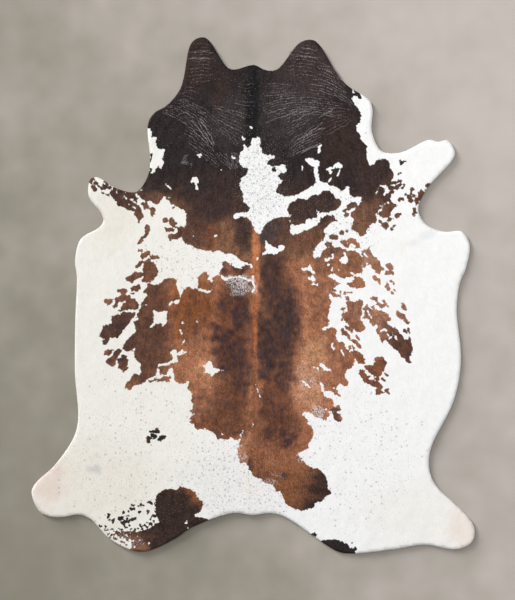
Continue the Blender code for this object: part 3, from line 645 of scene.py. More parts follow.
def wanted_step(places):
    """How far apart the net's points may be at each place."""
    x, y = places.T
    edge = np.abs(read_sheet(patch_sheet, places))
    creased = read_sheet(crease_sheet, places) > FAINT_CREASE
    striped = (np.abs(x - STRIPE_MIDDLE) < STRIPE_BAND) & (y < STRIPE_HEAD) & (y > STRIPE_FOOT)
    cases = [edge < EDGE_BAND, creased | striped, edge < NEAR_BAND]
    return np.select(cases, [FINE, CREASED, MIDDLE], COARSE)


net = np.vstack([
    lattice(step, lambda places, step=step: wanted_step(places) == step)
    for step in (FINE, CREASED, MIDDLE, COARSE)
])
print("hair side:", len(net), "points inside the rim")

# %% Heights from the solid
CALM_RIM = 20 * MM
Wave = namedtuple("Wave", "height size seed")
HIDE_WAVES = (Wave(0.35 * MM, 0.16, 3), Wave(0.15 * MM, 0.06, 4))
WELL_ABOVE, JUST_ABOVE = 0.1, 0.002

solid_tree = BVHTree.FromPolygons(
    [vertex.co for vertex in hide_solid.data.vertices],
    [polygon.vertices for polygon in hide_solid.data.polygons],
)


def on_solid(places):
    """How high the solid's hair side is at each place."""
    down = Vector((0, 0, -1))
    hits = [solid_tree.ray_cast(Vector((x, y, WELL_ABOVE)), down)[0] for x, y in places]
    return np.array([
        hit.z if hit else solid_tree.find_nearest(Vector((x, y, JUST_ABOVE)))[0].z
        for hit, (x, y) in zip(hits, places)
    ])


def hair_side_height(places):
    """The solid's height, with the fine creases and a slow waviness that dies at the rim."""
    inward = np.clip(read_sheet(rim_gap, places) / CALM_RIM, 0, 1)
    waves = sum(wave.height * lumps(places, wave.size, wave.seed) for wave in HIDE_WAVES)
    return on_solid(places) + inward * (waves + read_sheet(crease_sheet, places))


# %% Build the closed sheet
UNDER_INSET = 2.0 * MM
INSIDE_RING = 1


def triangles_inside(ring, *inner):
    """Points, triangles over a ring and any points in it, and the ring's new numbers."""
    points = [Vector(p) for p in np.vstack([ring, *inner])]
    found = delaunay_2d_cdt(points, [], [list(range(len(ring)))], INSIDE_RING, SAME_POINT)
    order = {old[0]: new for new, old in enumerate(found[3]) if old}
    ring_now = np.array([order[i] for i in range(len(ring))])
    return np.array([p[:] for p in found[0]]), np.array(found[2]), ring_now


def outward_at(ring):
    """The outward direction at each point of the ring."""
    along = np.roll(ring, -1, 0) - np.roll(ring, 1, 0)
    return np.stack([along[:, 1], -along[:, 0]], 1) / np.hypot(*along.T)[:, None]


outward = outward_at(outline)
upper, upper_faces, upper_rim = triangles_inside(outline, net)
under_ring = outline - UNDER_INSET * outward
under, under_faces, under_rim = triangles_inside(under_ring)
under_rim += len(upper)
next_upper, next_under = np.roll(upper_rim, -1), np.roll(under_rim, -1)
strip_faces = np.vstack([
    np.c_[upper_rim, under_rim, next_under],
    np.c_[upper_rim, next_under, next_upper],
])
vertices = np.vstack([np.c_[upper, hair_side_height(upper)], np.c_[under, np.zeros(len(under))]])
faces = np.vstack([upper_faces, strip_faces, (under_faces + len(upper))[:, ::-1]])

coat_mesh = bpy.data.meshes.new("hair_on_hide")
coat_mesh.from_pydata(vertices.tolist(), [], faces.tolist())
hide = bpy.data.objects.new("hair_on_hide", coat_mesh)
bpy.context.scene.collection.objects.link(hide)
print("hide:", len(faces), "triangles, top at", round(vertices[:, 2].max() / MM, 2), "mm")

# %% [markdown]
# ## Colours of the coat
# A coat in three colours is never flat. The dark hair runs from black on the neck through
# chestnut to tan on the flanks, with an orange stripe along the backbone. The white hair is
# a little yellow on the left and pinkish on the hind shanks. Each tone is a soft oval laid
# over the ones before it, with a centre, two half-widths and a turn in degrees. Ovals also
# say how many ticks, how much frost and how much smoke a spot has, and where it stays clear
# of smoke.

# %% Tones down the backbone
TONES = {
    "jet": "#161516", "slate": "#484141", "night": "#2a2322", "bitter": "#372923",
    "soot": "#3c3230", "peat": "#40302a", "umber": "#5c3f33", "auburn": "#704632",
    "brown": "#6a4735", "dusk": "#7e5942", "chestnut": "#85512f", "russet": "#845437",
    "copper": "#935f44", "ember": "#a55f3a", "orange": "#bd7850", "tan": "#a46e50",
    "dun": "#9a7059", "pink dun": "#a67f69", "fawn": "#c08c68", "pale fawn": "#bc8a6b",
    "cream": "#deb79d", "white": "#f9f9f8", "ivory": "#f4f2ea", "warm ivory": "#ede6d9",
    "ash white": "#eeece8", "rosy": "#ecdccf", "cream white": "#f3eadf",
    "blue-grey": "#b9bdc6", "straw": "#efe6cc",
}
BackboneTone = namedtuple("BackboneTone", "row tone")
BACKBONE_TONES = [
    BackboneTone(20, "night"), BackboneTone(168, "night"), BackboneTone(200, "peat"),
    BackboneTone(224, "umber"), BackboneTone(248, "dusk"), BackboneTone(272, "tan"),
    BackboneTone(425, "tan"), BackboneTone(450, "russet"), BackboneTone(490, "russet"),
    BackboneTone(508, "peat"),
]
print(len(TONES), "tones")

# %% Soft ovals of tone
Oval = namedtuple("Oval", "coat where tone column row wide high turn strength")
OVALS = [
    Oval("dark", "left lobe", "bitter", 194, 62, 18, 30, 0, 0.8),
    Oval("dark", "right lobe", "soot", 310, 66, 34, 34, 0, 0.8),
    Oval("dark", "left of the mane stripe", "slate", 228, 118, 18, 28, 0, 0.35),
    Oval("dark", "right neck", "slate", 290, 114, 30, 30, 0, 0.3),
    Oval("dark", "shade on the left neck", "bitter", 219, 92, 7, 20, -4, 0.6),
    Oval("dark", "mane stripe", "jet", 252, 98, 7, 46, 0, 1.0),
    Oval("dark", "right cheek", "bitter", 342, 140, 26, 32, 0, 0.7),
    Oval("dark", "left cheek", "night", 170, 160, 22, 34, 0, 0.6),
    Oval("dark", "left withers", "peat", 198, 208, 24, 16, 0, 0.8),
    Oval("dark", "left withers, foot", "umber", 198, 232, 24, 14, 0, 0.9),
    Oval("dark", "left shoulder", "dusk", 160, 214, 26, 20, 0, 0.8),
    Oval("dark", "left shank", "umber", 124, 196, 28, 14, -22, 0.75),
    Oval("dark", "left shank tip", "brown", 92, 184, 8, 9, 0, 0.8),
    Oval("dark", "warm shoulder", "dusk", 228, 238, 14, 18, 0, 0.95),
    Oval("dark", "rust streak", "chestnut", 212, 236, 6, 11, 0, 0.6),
    Oval("dark", "left of the stripe, upper", "peat", 243, 228, 8, 28, 0, 0.9),
    Oval("dark", "right of the stripe, upper", "slate", 270, 236, 10, 16, 0, 0.95),
    Oval("dark", "right ribs", "brown", 271, 266, 11, 24, 0, 0.8),
    Oval("dark", "behind the saddle patch", "brown", 303, 238, 28, 12, 0, 0.7),
    Oval("dark", "saddle patch", "peat", 312, 206, 28, 16, 0, 0.9),
    Oval("dark", "right shoulder", "peat", 377, 174, 22, 22, 0, 0.85),
    Oval("dark", "right shoulder foot", "dusk", 368, 218, 30, 18, 0, 0.75),
    Oval("dark", "shoulder islands", "brown", 412, 198, 26, 26, 0, 0.85),
    Oval("dark", "loose island", "dun", 390, 270, 10, 9, 0, 0.9),
    Oval("dark", "left ribs", "brown", 138, 276, 34, 26, 0, 0.9),
    Oval("dark", "left side", "chestnut", 192, 312, 24, 38, 0, 0.95),
    Oval("dark", "left side, front", "brown", 157, 312, 11, 36, 0, 0.85),
    Oval("dark", "left belly", "brown", 140, 346, 29, 48, 0, 0.95),
    Oval("dark", "left flank", "umber", 114, 326, 20, 22, 0, 0.8),
    Oval("dark", "left haunch", "tan", 191, 372, 16, 46, -14, 0.95),
    Oval("dark", "left haunch, light", "fawn", 204, 368, 8, 13, 0, 0.8),
    Oval("dark", "left of the stripe", "auburn", 234, 330, 19, 62, 0, 0.9),
    Oval("dark", "left loin", "auburn", 231, 412, 20, 34, 0, 0.9),
    Oval("dark", "right of the stripe", "brown", 277, 322, 20, 66, 0, 0.85),
    Oval("dark", "right loin", "auburn", 275, 406, 17, 34, 0, 0.9),
    Oval("dark", "right side, light", "fawn", 314, 352, 12, 17, 0, 0.85),
    Oval("dark", "right haunch, light", "pale fawn", 309, 386, 15, 24, 0, 0.95),
    Oval("dark", "island behind the river", "tan", 351, 243, 11, 8, 0, 0.8),
    Oval("dark", "right ribs, pale", "pink dun", 369, 253, 9, 15, 0, 0.7),
    Oval("dark", "right flank, inner", "copper", 353, 318, 16, 30, 0, 0.75),
    Oval("dark", "right flank", "dun", 384, 316, 32, 24, 0, 0.8),
    Oval("dark", "right flank, outer", "brown", 402, 346, 18, 26, 0, 0.95),
    Oval("dark", "right flank, lower", "auburn", 376, 378, 26, 26, 0, 0.85),
    Oval("dark", "drop", "peat", 338, 416, 7, 7, 0, 0.8),
    Oval("dark", "rump, left edge", "fawn", 241, 450, 7, 13, 0, 0.7),
    Oval("dark", "rump, upper left", "russet", 218, 428, 26, 14, 0, 0.8),
    Oval("dark", "rump blotches", "auburn", 280, 430, 20, 20, 0, 0.8),
    Oval("dark", "rump, dark fold", "umber", 266, 472, 12, 4, -20, 0.4),
    Oval("dark", "rump, middle", "copper", 280, 458, 30, 18, 0, 0.65),
    Oval("dark", "rump, foot", "russet", 291, 488, 16, 18, 0, 1.0),
    Oval("dark", "rump, towards the right end", "umber", 312, 488, 12, 26, -18, 0.6),
    Oval("dark", "rump, right end", "bitter", 323, 488, 12, 24, -18, 0.95),
    Oval("dark", "rump, right foot", "bitter", 313, 506, 12, 6, 12, 0.8),
    Oval("dark", "hind dashes", "night", 128, 516, 34, 14, 0, 0.95),
    Oval("dark", "left buttock, band", "bitter", 172, 526, 40, 14, 0, 0.95),
    Oval("dark", "left buttock, band's edge", "brown", 130, 540, 22, 10, -14, 0.85),
    Oval("dark", "left buttock, foot of the band", "dun", 134, 548, 16, 4, -10, 0.6),
    Oval("dark", "left buttock", "bitter", 170, 505, 26, 22, 0, 1.0),
    Oval("dark", "left buttock, rim", "chestnut", 197, 497, 4.5, 10, 36, 0.75),
    Oval("dark", "group on the hind shank", "night", 156, 435, 14, 12, 0, 1.0),
    Oval("dark", "right buttock", "night", 338, 544, 32, 14, 0, 1.0),
    Oval("dark", "stripe, upper", "orange", 255.8, 252, 3.7, 44, 0, 1.0),
    Oval("dark", "stripe, middle", "ember", 255, 322, 1.7, 46, 0, 1.0),
    Oval("dark", "stripe, lower", "russet", 254.6, 392, 2.2, 42, 0, 0.8),
    Oval("dark", "stripe, pale bit", "cream", 255, 289.5, 1.9, 4.5, 0, 0.7),
    Oval("white", "left half", "ivory", 120, 350, 110, 230, 0, 1.0),
    Oval("white", "left armpit", "warm ivory", 112, 220, 22, 28, 0, 0.5),
    Oval("white", "left hind shank", "warm ivory", 90, 490, 66, 50, 0, 0.6),
    Oval("white", "left hind hoof end", "rosy", 48, 480, 18, 24, 0, 0.8),
    Oval("white", "right hind shank", "ivory", 420, 515, 60, 36, 0, 0.6),
    Oval("white", "right hind hoof end", "cream white", 464, 530, 16, 22, 0, 0.9),
    Oval("white", "left smudge", "blue-grey", 95, 465, 4, 4.5, 0, 0.4),
    # Painted shade: a faint bluish grey streak by the right armpit, standing for a soft hollow's
    # shade.
    Oval("white", "painted shade by the right armpit", "blue-grey", 425, 235, 18, 4, 24, 0.18),
    Oval("white", "right straw spot", "straw", 405, 247, 8, 6, 0, 0.18),
    Oval("white", "backbone over the tail", "straw", 249, 488, 2, 16, 0, 0.5),
    Oval("white", "behind the rump", "ash white", 235, 486, 66, 34, 0, 0.5),
]
print(len(OVALS), "ovals of tone")

# %% Ovals of ticks, frost and smoke
Amount = namedtuple("Amount", "kind where column row wide high strength")
AMOUNTS = [
    Amount("ticks", "blaze", 262, 180, 24, 46, 0.85),
    Amount("ticks", "neck", 250, 100, 110, 66, 0.06),
    Amount("ticks", "river", 330, 225, 44, 34, 0.3),
    Amount("ticks", "left shoulder", 190, 262, 42, 24, 0.2),
    Amount("ticks", "rump", 240, 478, 60, 44, 0.35),
    Amount("ticks", "left hind shank", 140, 450, 76, 70, 0.1),
    Amount("ticks", "right flank", 350, 450, 60, 70, 0.12),
    Amount("frost", "frosted spot, top", 239, 281, 13, 6, 1.0),
    Amount("frost", "frosted spot", 240, 285, 13, 11, 0.75),
    Amount("frost", "left cheek, smudge", 185.5, 161, 3, 4, 0.5),
    Amount("frost", "by the blaze", 234, 163, 7, 8, 0.4),
    Amount("frost", "thigh fleck", 318, 411, 9, 6, 0.9),
    Amount("frost", "right haunch", 306, 372, 12, 12, 0.35),
    Amount("frost", "right loin", 306, 384, 9, 7, 0.55),
    Amount("frost", "right flank", 372, 300, 40, 30, 0.3),
    Amount("frost", "rump, left", 240, 455, 5, 8, 0.6),
    Amount("frost", "rump, middle", 269, 482, 9, 4, 0.6),
    Amount("frost", "rump, right", 300, 455, 4, 5, 0.6),
    Amount("frost", "right ribs", 340, 290, 14, 9, 0.5),
    Amount("frost", "shoulder, between the stripes", 228, 232, 9, 14, 0.25),
    Amount("frost", "left buttock, band's edge", 126, 541, 20, 9, 0.45),
    Amount("clear", "backbone stripe", 255.2, 310, 2.0, 80, 0.95),
    Amount("smoke", "above the frosted spot", 238, 268, 15, 6, 1.0),
    Amount("smoke", "under the frosted spot", 237, 286, 13, 9, 0.8),
    Amount("smoke", "left of the stripe, high", 240, 312, 10, 22, 0.85),
    Amount("smoke", "left of the stripe, outer", 217, 334, 5, 11, 0.8),
    Amount("smoke", "left of the stripe, below the spot", 227, 302, 11, 12, 0.6),
    Amount("smoke", "left of the stripe", 229, 352, 16, 26, 0.85),
    Amount("smoke", "left of the stripe, low", 241, 374, 12, 20, 0.75),
    Amount("smoke", "left loin", 228, 408, 18, 18, 0.32),
    Amount("smoke", "right of the stripe, high", 272, 278, 12, 32, 0.8),
    Amount("smoke", "right of the stripe, outer", 286, 320, 16, 34, 0.95),
    Amount("smoke", "right of the stripe", 266, 346, 11, 34, 1.0),
    Amount("smoke", "right of the stripe, low", 284, 368, 10, 24, 0.75),
    Amount("smoke", "right loin", 271, 408, 13, 16, 0.45),
    Amount("smoke", "left withers", 204, 214, 32, 26, 0.28),
    Amount("smoke", "right of the withers", 274, 244, 16, 30, 0.4),
    Amount("smoke", "saddle patch", 312, 206, 28, 16, 0.1),
    Amount("smoke", "right shoulder", 378, 190, 30, 36, 0.25),
    Amount("smoke", "left shank", 122, 190, 30, 14, 0.35),
    Amount("smoke", "left flank", 114, 340, 22, 40, 0.55),
    Amount("smoke", "left belly", 146, 336, 28, 56, 0.38),
    Amount("smoke", "left haunch", 200, 410, 16, 20, 0.4),
    Amount("smoke", "right flank", 403, 348, 20, 28, 0.5),
    Amount("smoke", "rump", 278, 428, 20, 20, 0.4),
    Amount("smoke", "rump, left", 222, 424, 22, 14, 0.45),
    Amount("smoke", "rump, foot", 290, 476, 26, 20, 0.04),
    Amount("smoke", "rump, spot", 284, 446, 5, 4, 1.0),
    Amount("smoke", "rump, spot by the backbone", 266, 434, 6, 7, 0.7),
    Amount("smoke", "rump, spot on the right", 291, 434, 7, 5, 0.8),
    Amount("smoke", "rump, fold", 286, 475, 5, 3, 0.75),
    Amount("smoke", "rump, left of the fold", 262, 472, 10, 5, 0.35),
    Amount("smoke", "rump, left edge", 250, 467, 3, 6, 0.7),
    Amount("smoke", "left side", 198, 318, 16, 30, 0.35),
    Amount("smoke", "right side", 335, 300, 26, 70, 0.25),
]
print(len(AMOUNTS), "ovals of ticks, frost, smoke and clear hair")

# %% Tone and amount at a place
OVAL_UNEVEN, OVAL_LUMPS = 5.2, 70 * MM
OVAL_END, OVAL_FADE = 1.45, 0.9
BACKBONE_UNEVEN, BACKBONE_LUMPS, BACKBONE_SEED = 5, 0.15, 9


def linear(hex_colour):
    """An sRGB hex colour as linear red, green and blue."""
    parts = np.array([int(hex_colour[i : i + 2], 16) for i in (1, 3, 5)]) / 255
    return np.where(parts <= 0.04045, parts / 12.92, ((parts + 0.055) / 1.055) ** 2.4)


def oval_share(row, turn, places, seed):
    """1 in the oval's middle, 0 well outside, with an uneven soft edge between."""
    dx = places[:, 0] / SQUARE + BACKBONE_COLUMN - row.column
    dy = places[:, 1] / SQUARE - MIDDLE_ROW + row.row
    c, s = np.cos(np.radians(turn)), np.sin(np.radians(turn))
    reach = np.hypot((dx * c + dy * s) / row.wide, (dy * c - dx * s) / row.high)
    uneven = OVAL_UNEVEN / (row.wide + row.high) * lumps(places, OVAL_LUMPS, seed)
    fade = np.clip((OVAL_END - reach - uneven) / OVAL_FADE, 0, 1)
    return row.strength * fade * fade * (3 - 2 * fade)


def tone_at(coat, places):
    """The coat's linear colour at each place, with every oval laid over the last."""
    if coat == "dark":
        uneven = BACKBONE_UNEVEN * lumps(places, BACKBONE_LUMPS, BACKBONE_SEED)
        rows = MIDDLE_ROW - places[:, 1] / SQUARE + uneven
        marks = [mark.row for mark in BACKBONE_TONES]
        steps = np.array([linear(TONES[mark.tone]) for mark in BACKBONE_TONES])
        colour = np.stack([np.interp(rows, marks, step) for step in steps.T], 1)
    else:
        colour = np.tile(linear(TONES["white"]), (len(places), 1))
    for seed, oval in enumerate(OVALS):
        if oval.coat == coat:
            share = oval_share(oval, oval.turn, places, seed)[:, None]
            colour = colour + share * (linear(TONES[oval.tone]) - colour)
    return colour


def amount_at(kind, places):
    """How much of a kind of marking there is at each place, 0 to 1."""
    rows = [(seed, row) for seed, row in enumerate(AMOUNTS) if row.kind == kind]
    return np.max([oval_share(row, 0, places, seed) for seed, row in rows], 0)


print("the white coat in linear light:", linear(TONES["white"]).round(3))

# %% [markdown]
# ## Which way the hair lies
# Hair lies from the neck towards the tail and fans out over the flanks, as if combed from
# one point far in front of the neck. Two numbers say where a spot is in that combing: how
# far across the hair, and how far along it. The material stretches its patterns along it.

# %% Give a mesh its coat
COMB_FROM = 2.6


def combed(places):
    """Across and along the lie of the hair, in metres."""
    ahead = COMB_FROM - places[:, 1]
    across = COMB_FROM * places[:, 0] / ahead
    along = np.hypot(places[:, 0], ahead)
    return np.stack([across, along, np.zeros(len(places))], 1)


def give_coat(mesh, places, painted_shine=0.0):
    """Store what the coat is like at each vertex, read at the place that is given for it."""
    opaque = np.ones((len(places), 1))
    roots = np.c_[places, np.zeros(len(places))]
    # The crease value drives the painted highlight: the ridge's height in mm, plus any painted
    # shine given for locks.
    crease = read_sheet(crease_sheet, places) / MM + painted_shine
    values = {
        "patch": ("FLOAT", "value", read_sheet(patch_sheet, places) / MM),
        "crease": ("FLOAT", "value", crease),
        "ticks": ("FLOAT", "value", amount_at("ticks", places)),
        "frost": ("FLOAT", "value", amount_at("frost", places)),
        "smoke": ("FLOAT", "value", amount_at("smoke", places) * (1 - amount_at("clear", places))),
        "root": ("FLOAT_VECTOR", "vector", roots),
        "lie": ("FLOAT_VECTOR", "vector", combed(places)),
        "dark_tone": ("FLOAT_COLOR", "color", np.c_[tone_at("dark", places), opaque]),
        "white_tone": ("FLOAT_COLOR", "color", np.c_[tone_at("white", places), opaque]),
    }
    for name, (kind, field, numbers) in values.items():
        kept = mesh.attributes.get(name) or mesh.attributes.new(name, kind, "POINT")
        kept.data.foreach_set(field, numbers.ravel())


give_coat(coat_mesh, vertices[:, :2])
print("coat stored on", len(vertices), "points")

# %% [markdown]
# ## A flat map of the sheet
# Colours are baked to a picture when the rug is exported. A hide that lies flat needs no
# unwrapping: the view from above is its map. The underside gets a small copy in a corner,
# because plain suede needs little room, and the rim's strip opens outwards round the coat.

# %% Bake map
MAP_SIDE = 2.37
MAP_CORNER = np.array([-1.005, -1.17])
UNDER_MAP, UNDER_CORNER = 0.13, np.array([0.865, 0.0])


def seen_from_above(places):
    """Places on the hide to places on the map's square."""
    return (places[:, :2] - MAP_CORNER) / MAP_SIDE


def add_bake_map(mesh, corners):
    """Store a map from two numbers for every corner of every face."""
    mesh.uv_layers.new(name="OFBake").data.foreach_set("uv", corners.ravel())


on_map = seen_from_above(vertices)
strip_on_map = on_map.copy()
strip_on_map[under_rim] = seen_from_above(outline + 2 * UNDER_INSET * outward)
under_on_map = UNDER_CORNER + UNDER_MAP * on_map
corners = np.vstack([
    on_map[upper_faces.ravel()],
    strip_on_map[strip_faces.ravel()],
    under_on_map[faces[-len(under_faces):].ravel()],
])
add_bake_map(coat_mesh, corners)
print("map from", corners.min(0).round(3), "to", corners.max(0).round(3))

# %% [markdown]
# ## The coat's material
# Short, lying, slightly greasy cow hair: no metal, rough, with a weak soft gloss. One
# material serves both coats. It reads the stored distance to the patch's edge and frays
# that edge with noise. Noise drawn out along the hair streaks the colours and raises the
# bump. The dark coat also gets smoky blotches with a painted bluish sheen, painted
# highlights along the creases, frosted spots and a few pale ticks, and the white coat gets
# grey ticks.

# %% Nodes for the coat
def paint(hex_colour):
    """An sRGB hex colour as the four linear numbers of a colour input."""
    return (*linear(hex_colour), 1)


def add(tree, kind, inputs=None, **settings):
    """Add a node, set it up, and fill or link its inputs. A node gives its first output."""
    node = tree.nodes.new(kind)
    for name, value in settings.items():
        setattr(node, name, value)
    for key, value in (inputs or {}).items():
        source = value.outputs[0] if isinstance(value, bpy.types.Node) else value
        if isinstance(source, bpy.types.NodeSocket):
            tree.links.new(source, node.inputs[key])
        else:
            node.inputs[key].default_value = source
    return node


def new_material(name):
    """A material and its node tree, still empty."""
    material = bpy.data.materials.new(name)
    material.use_nodes = True
    material.node_tree.nodes.clear()
    return material, material.node_tree


def finish_material(tree, inputs):
    """The shader with its inputs, joined to the output."""
    shader = add(tree, "ShaderNodeBsdfPrincipled", inputs)
    add(tree, "ShaderNodeOutputMaterial", {"Surface": shader})


# %% Patterns for the coat
NOISE_DETAIL = 1.5


def lumpy(tree, place, across_mm, along_mm, shift=0):
    """Noise from 0 to 1 in lumps of that size."""
    size = (1 / (across_mm * MM), 1 / (along_mm * MM), 1)
    spread = add(tree, "ShaderNodeVectorMath", {0: place, 1: size}, operation="MULTIPLY")
    away = (shift, -shift, shift)
    moved = add(tree, "ShaderNodeVectorMath", {0: spread, 1: away}, operation="ADD")
    return add(tree, "ShaderNodeTexNoise", {"Vector": moved, "Scale": 1, "Detail": NOISE_DETAIL})


def sum_of(tree, value, *parts):
    """value plus each (pattern, factor) part, less half its factor, as noise centres on 0.5."""
    for pattern, factor in parts:
        centred = add(tree, "ShaderNodeMath", {0: pattern, 1: -0.5}, operation="ADD")
        inputs = {0: centred, 1: factor, 2: value}
        value = add(tree, "ShaderNodeMath", inputs, operation="MULTIPLY_ADD")
    return value


def laid_over(tree, under, over, amount, low, high, most=1.0):
    """One colour over another: none of it at the low amount, the most at the high one."""
    inputs = {0: amount, 1: low, 2: high, 3: 0.0, 4: most}
    share = add(tree, "ShaderNodeMapRange", inputs, interpolation_type="SMOOTHSTEP")
    return add(tree, "ShaderNodeMix", {0: share, 6: under, 7: over}, data_type="RGBA").outputs[2]


def shaded(tree, colour, pattern, low, high, darkest, lightest):
    """A colour times a pattern, whose values from low to high become darkest to lightest."""
    inputs = {0: pattern, 1: low, 2: high, 3: darkest, 4: lightest}
    factor = add(tree, "ShaderNodeMapRange", inputs, interpolation_type="SMOOTHSTEP")
    return add(tree, "ShaderNodeVectorMath", {0: colour, "Scale": factor}, operation="SCALE")


# %% Ticks: single hairs and small tufts of another colour
FROST = paint("#d8d2d0")
TICK_GREY = paint("#777780")
TICK_CORE, TICK_RIM = 0.6, 1.3
Tick = namedtuple("Tick", "coat spacing_mm radius share depth colour")
TICKS = (
    Tick("dark", 9.0, 0.17, 1.0, 0.22, FROST),
    Tick("white", 7.5, 0.26, 0.8, 0.5, TICK_GREY),
    Tick("white", 23.0, 0.2, 1.5, 0.36, TICK_GREY),
)


def ticked(tree, colour, coat, place, amount):
    """A coat with its ticks: round dots on a jittered net, at some of its knots."""
    for tick in TICKS:
        if tick.coat == coat:
            net_at = {"Vector": place, "Scale": 1 / (tick.spacing_mm * MM)}
            knots = add(tree, "ShaderNodeTexVoronoi", net_at, voronoi_dimensions="2D")
            chance = add(tree, "ShaderNodeSeparateColor", {0: knots.outputs["Color"]})
            wanted = add(tree, "ShaderNodeMath", {0: amount, 1: tick.share}, operation="MULTIPLY")
            chosen = add(tree, "ShaderNodeMath", {0: wanted, 1: chance}, operation="GREATER_THAN")
            core, rim = TICK_CORE * tick.radius, TICK_RIM * tick.radius
            inputs = {0: knots.outputs["Distance"], 1: core, 2: rim, 3: tick.depth, 4: 0.0}
            disc = add(tree, "ShaderNodeMapRange", inputs, interpolation_type="SMOOTHSTEP")
            share = add(tree, "ShaderNodeMath", {0: chosen, 1: disc}, operation="MULTIPLY")
            inputs = {0: share, 6: colour, 7: tick.colour}
            colour = add(tree, "ShaderNodeMix", inputs, data_type="RGBA").outputs[2]
    return colour


# %% Patterns that both coats share
SWIRL, SWIRLS_PER_METRE = 50 * MM, 7.0

coat_material, tree = new_material("cow hair, short and lying")
stored = {
    name: add(tree, "ShaderNodeAttribute", attribute_name=name).outputs
    for name in (
        "lie", "root", "patch", "dark_tone", "white_tone", "smoke", "crease", "frost", "ticks",
    )
}
root = stored["root"]["Vector"]
swirl_at = {"Vector": root, "Scale": SWIRLS_PER_METRE, "Detail": 1.0}
swirl = add(tree, "ShaderNodeTexNoise", swirl_at).outputs["Color"]
sideways = {0: swirl, 1: (SWIRL, SWIRL, 0.0), 2: stored["lie"]["Vector"]}
swirled = add(tree, "ShaderNodeVectorMath", sideways, operation="MULTIPLY_ADD")
# Hairs are 0.05 mm thick, so the finest streak stands for a wisp of some dozens of them.
wisps = lumpy(tree, swirled, 2.6, 12, 3)
tufts = lumpy(tree, swirled, 7.0, 26, 7)
streaks = lumpy(tree, swirled, 12, 95, 5)
mottle = lumpy(tree, swirled, 30, 52, 11)
grain, crumbs, clouds = (lumpy(tree, root, size_mm, size_mm) for size_mm in (5, 11, 30))
edge = sum_of(tree, stored["patch"]["Fac"], (crumbs, 12.0), (grain, 6.0), (wisps, 4.0))
print("shared patterns:", len(tree.nodes), "nodes")

# %% The dark coat
# The last of these colours is the painted highlight for the creases.
SMOKE, SMOKE_PAINTED_SHEEN, PAINTED_CREASE_HIGHLIGHT = paint("#191314"), paint("#39323a"), paint("#b8b0ae")

flecked = sum_of(tree, wisps, (mottle, 1.2), (grain, 1.6), (crumbs, 1.0), (tufts, 0.5))
dark = shaded(tree, stored["dark_tone"]["Color"], flecked, 0, 1, 0.58, 1.68)
streaky = sum_of(tree, tufts, (streaks, 1.3), (crumbs, 0.7), (grain, 0.8))
# Painted sheen: lighter bluish streaks laid into the smoke, mixed in by streaky noise.
smoke_and_painted_sheen = laid_over(tree, SMOKE, SMOKE_PAINTED_SHEEN, streaky, 0.1, 0.9)
smoke = sum_of(
    tree, stored["smoke"]["Fac"],
    (clouds, 1.5), (mottle, 1.1), (streaks, 1.0), (crumbs, 0.8), (grain, 1.3),
)
dark = laid_over(tree, dark, smoke_and_painted_sheen, smoke, -0.25, 1.3, 0.88)
# Painted highlight: the creases' ridges, and the locks set on them, are lightened in beads towards
# a pale grey, as if catching the light.
beads = sum_of(tree, 1.0, (grain, 2.4), (crumbs, 1.4), (clouds, 1.0))
beaded = {0: stored["crease"]["Fac"], 1: beads}
painted_shine = add(tree, "ShaderNodeMath", beaded, operation="MULTIPLY")
dark = laid_over(tree, dark, PAINTED_CREASE_HIGHLIGHT, painted_shine, 0.25, 2.3, 0.95)
patchy = sum_of(tree, 1.0, (grain, 3.2), (wisps, 3.0), (crumbs, 1.6))
frost = add(tree, "ShaderNodeMath", {0: stored["frost"]["Fac"], 1: patchy}, operation="MULTIPLY")
dark = laid_over(tree, dark, FROST, frost, 0.3, 1.4, 0.9)
spots_at = add(tree, "ShaderNodeTexCoord").outputs["Object"]
ticks = stored["ticks"]["Fac"]
dark = ticked(tree, dark, "dark", spots_at, ticks)
print("with the dark coat:", len(tree.nodes), "nodes")

# %% The white coat
wispy = sum_of(tree, wisps, (tufts, 0.5), (mottle, 0.5))
white = shaded(tree, stored["white_tone"]["Color"], wispy, 0.15, 0.85, 0.925, 1.01)
white = ticked(tree, white, "white", spots_at, ticks)
print("with the white coat:", len(tree.nodes), "nodes")

# %% Colour, relief and gloss of the coat
FRAY_MM = 1.1
HAIR_IOR = 1.55

relief = sum_of(tree, wisps, (tufts, 0.6))
raised = {"Height": relief, "Strength": 0.4, "Distance": 0.9 * MM}
finish_material(tree, {
    "Base Color": laid_over(tree, white, dark, edge, -FRAY_MM, FRAY_MM),
    "Normal": add(tree, "ShaderNodeBump", raised),
    "Roughness": 0.62, "IOR": HAIR_IOR, "Specular IOR Level": 0.08,
})
print("coat material:", len(tree.nodes), "nodes")

# %% [markdown]
# ## The underside
# The back of a hide is split and buffed to suede: dull, pale tan-grey, with a short nap that
# shows as soft clouds. It meets the floor and is seen only where the rug is turned over.

# %% Suede material
SUEDE, SUEDE_PALE = paint("#a89a8a"), paint("#c0b3a2")

suede_material, tree = new_material("hide suede, buffed")
place = add(tree, "ShaderNodeTexCoord").outputs["Object"]
nap, clouds = (lumpy(tree, place, size_mm, size_mm) for size_mm in (5, 60))
cloudy = sum_of(tree, clouds, (nap, 0.4))
raised = {"Height": nap, "Strength": 0.3, "Distance": 0.4 * MM}
finish_material(tree, {
    "Base Color": laid_over(tree, SUEDE, SUEDE_PALE, cloudy, 0.25, 0.75),
    "Normal": add(tree, "ShaderNodeBump", raised),
    "Roughness": 0.93, "Specular IOR Level": 0.2,
})

coat_mesh.materials.append(coat_material)
coat_mesh.materials.append(suede_material)
slots = np.zeros(len(faces), int)
slots[-len(under_faces):] = 1
coat_mesh.polygons.foreach_set("material_index", slots)
coat_mesh.polygons.foreach_set("use_smooth", np.ones(len(faces), bool))
coat_mesh.update()
print("suede on", len(under_faces), "triangles of the underside")

